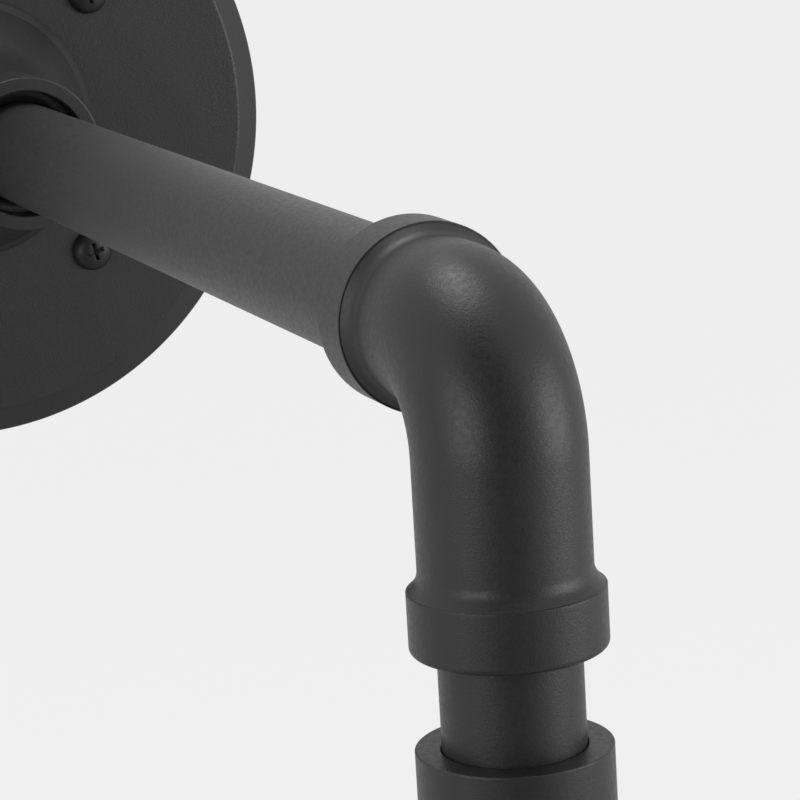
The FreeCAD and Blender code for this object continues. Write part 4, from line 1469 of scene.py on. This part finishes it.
@dataclass
class Studio:
    """The camera, the pale surroundings and the lights.

    Args:
        eye: where the camera stands.
        yaw: how far it looks to the right of +Y, in radians.
        pitch: how far it looks down.
        roll: how far it is turned about its own axis.
        focal: the focal length in pixels of the photograph's width.
        width: the photograph's width in pixels.
        sensor: the width of the camera's sensor in mm.
        floor_z: the floor's height.
        floor_reach: how far the floor goes each way.
        floor_paint: the floor's own shade, which takes the light's shadow.
        floor_shade: the shade that the floor shows to the eye.
        floor_show: how much of what is seen of the floor is that shade.
        backdrop: the shade of the surroundings, as a linear value.
        fill: the world's strength as a light.
        dim_side: the way to the dim side of the room, behind the camera.
        dim_rise: how much height counts in a direction beside that; less makes it taller.
        dim_span: how far a direction agrees with it where it starts and where it is full.
        dim_shade: how bright that side is in reflections.
        mirror_shade: how bright the rest is in reflections.
        below_span: how far a direction points down where its dip starts and is full.
        below_dip: how much dimmer reflections of what is straight below are.
        centre: the point that directions on the floor are taken from.
        lights: the softboxes.
    """

    eye: Corner = (-137.75 * MM, -578.65 * MM, 72.17 * MM)
    yaw: float = 0.372
    pitch: float = 0.219
    roll: float = 0.060
    focal: float = 3130.76
    width: float = 800.0
    sensor: float = 36.0
    floor_z: float = -0.52
    floor_reach: float = 14.0
    floor_paint: float = 0.80
    floor_shade: float = 0.955
    floor_show: float = 0.82
    backdrop: float = 0.855
    fill: float = 0.50
    dim_side: Corner = (-0.46, -0.888, 0.0)
    dim_rise: float = 0.24
    dim_span: tuple[float, float] = (0.56, 0.90)
    dim_shade: float = 0.04
    mirror_shade: float = 0.74
    below_span: tuple[float, float] = (0.30, 0.85)
    below_dip: float = 0.45
    centre: Corner = (0.0, -0.25, 0.0)
    lights: list[Softbox] = field(default_factory=lambda: [
        Softbox("left box", (-0.95, -0.75, 0.15), (0.0, -0.24, -0.02), 0.7, 3.6),
        Softbox("right box", (0.85, -0.80, 0.10), (0.0, -0.24, -0.02), 0.7, 4.4),
        Softbox("top box", (-0.05, 0.05, 0.95), (0.0, -0.24, 0.0), 0.5, 3.3),
    ])

    def build(self) -> None:
        """Sets the whole studio."""
        self.camera()
        self.world()
        self.floor()
        for light in self.lights:
            light.build()
        bpy.context.scene.view_settings.view_transform = "Standard"

    def camera(self) -> None:
        """Puts the camera where the photograph was taken from."""
        forward = Vector((
            math.sin(self.yaw) * math.cos(self.pitch),
            math.cos(self.yaw) * math.cos(self.pitch),
            -math.sin(self.pitch),
        ))
        level = Vector((math.cos(self.yaw), -math.sin(self.yaw), 0.0))
        down = forward.cross(level)
        right = level * math.cos(self.roll) + down * math.sin(self.roll)
        down = down * math.cos(self.roll) - level * math.sin(self.roll)
        data = bpy.data.cameras.new("camera")
        data.sensor_width = self.sensor
        data.lens = self.focal / self.width * self.sensor
        data.clip_start = 0.01
        holder = bpy.data.objects.new("camera", data)
        bpy.context.scene.collection.objects.link(holder)
        turn = Matrix((right, -down, -forward)).transposed().to_4x4()
        holder.matrix_world = Matrix.Translation(self.eye) @ turn
        bpy.context.scene.camera = holder

    def world(self) -> None:
        """Makes the surroundings pale to the eye and in reflections, and a plain fill light."""
        world = bpy.data.worlds.new("studio")
        builder = NodeBuilder.emptied(world)
        rays, seen = self.seen(builder)
        direction = builder.node("ShaderNodeTexCoord").outputs["Generated"]
        shade = self.shade(builder, direction, rays["Is Glossy Ray"], self.backdrop)
        unseen = builder.times(builder.math("SUBTRACT", 1.0, seen), self.fill)
        strength = builder.math("ADD", builder.times(seen, shade), unseen)
        inputs = {"Color": (1.0, 1.0, 1.0, 1.0), "Strength": strength}
        light = builder.node("ShaderNodeBackground", inputs).outputs[0]
        builder.surface(light, "ShaderNodeOutputWorld")
        bpy.context.scene.world = world

    @staticmethod
    def seen(builder: NodeBuilder) -> tuple[bpy.types.NodeOutputs, Socket]:
        """Finds the rays that show a thing itself, straight, through glass or in a reflection.

        Args:
            builder: the tree to add to.

        Returns:
            Every kind of ray, and 1 for one that shows the thing.
        """
        rays = builder.node("ShaderNodeLightPath").outputs
        eye = builder.math("MAXIMUM", rays["Is Camera Ray"], rays["Is Transmission Ray"])
        return rays, builder.math("MAXIMUM", eye, rays["Is Glossy Ray"])

    def shade(
        self, builder: NodeBuilder, direction: Socket, glossy: Socket, plain: float
    ) -> Socket:
        """The shade of the surroundings one way from the light, dim in some reflections.

        Args:
            builder: the tree to add to.
            direction: the way from the light, fixed in the room.
            glossy: 1 for a reflected ray.
            plain: the shade to the eye.

        Returns:
            The shade.
        """
        level = builder.vector("MULTIPLY", direction, (1.0, 1.0, self.dim_rise))
        to_side = builder.facing(builder.vector("NORMALIZE", level), self.dim_side)
        to_below = builder.facing(builder.vector("NORMALIZE", direction), (0.0, 0.0, -1.0))
        side_dip, below_dip = (
            builder.spread(value, 0.0, top, span, "SMOOTHSTEP")
            for value, top, span in (
                (to_side, self.mirror_shade - self.dim_shade, self.dim_span),
                (to_below, self.below_dip, self.below_span),
            )
        )
        dip = builder.math("MAXIMUM", side_dip, below_dip)
        mirrored = builder.math("SUBTRACT", self.mirror_shade, dip)
        to_eye = builder.times(builder.math("SUBTRACT", 1.0, glossy), plain)
        return builder.math("ADD", to_eye, builder.times(glossy, mirrored))

    def floor(self) -> None:
        """Lays a wide pale floor well below the light."""
        mesh = bpy.data.meshes.new("floor")
        reach = self.floor_reach
        corners = [(-reach, -reach), (reach, -reach), (reach, reach), (-reach, reach)]
        mesh.from_pydata([(x, y, self.floor_z) for x, y in corners], [], [(0, 1, 2, 3)])
        mesh.materials.append(self.floor_material())
        placed("floor", mesh)

    def floor_material(self) -> bpy.types.Material:
        """A pale floor that shows its own shade, keeps the light's shadow and is clear from below.

        Returns:
            The material.
        """
        made = bpy.data.materials.new("floor")
        builder = NodeBuilder.emptied(made)
        paint = (self.floor_paint, self.floor_paint, self.floor_paint, 1.0)
        diffuse = builder.node("ShaderNodeBsdfDiffuse", {"Color": paint}).outputs[0]
        rays, seen = self.seen(builder)
        place = builder.node("ShaderNodeNewGeometry").outputs
        direction = builder.vector("SUBTRACT", place["Position"], self.centre)
        shade = self.shade(builder, direction, rays["Is Glossy Ray"], self.floor_shade)
        inputs = {"Color": (1.0, 1.0, 1.0, 1.0), "Strength": shade}
        glow = builder.node("ShaderNodeEmission", inputs).outputs[0]
        share = builder.times(seen, self.floor_show)
        top = builder.node("ShaderNodeMixShader", {0: share, 1: diffuse, 2: glow}).outputs[0]
        clear = builder.node("ShaderNodeBsdfTransparent").outputs[0]
        sides = {0: place["Backfacing"], 1: top, 2: clear}
        builder.surface(builder.node("ShaderNodeMixShader", sides).outputs[0])
        return made


def main() -> None:
    """Builds the light and its studio."""
    logging.basicConfig(level=logging.INFO, format="%(name)s: %(message)s")
    for thing in list(bpy.data.objects):
        bpy.data.objects.remove(thing)
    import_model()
    for part in (WallSide(), Pipework(), LampHead(), Bulb(), Studio()):
        LOG.info("building %s", type(part).__name__)
        part.build()


if __name__ == "__main__":
    main()
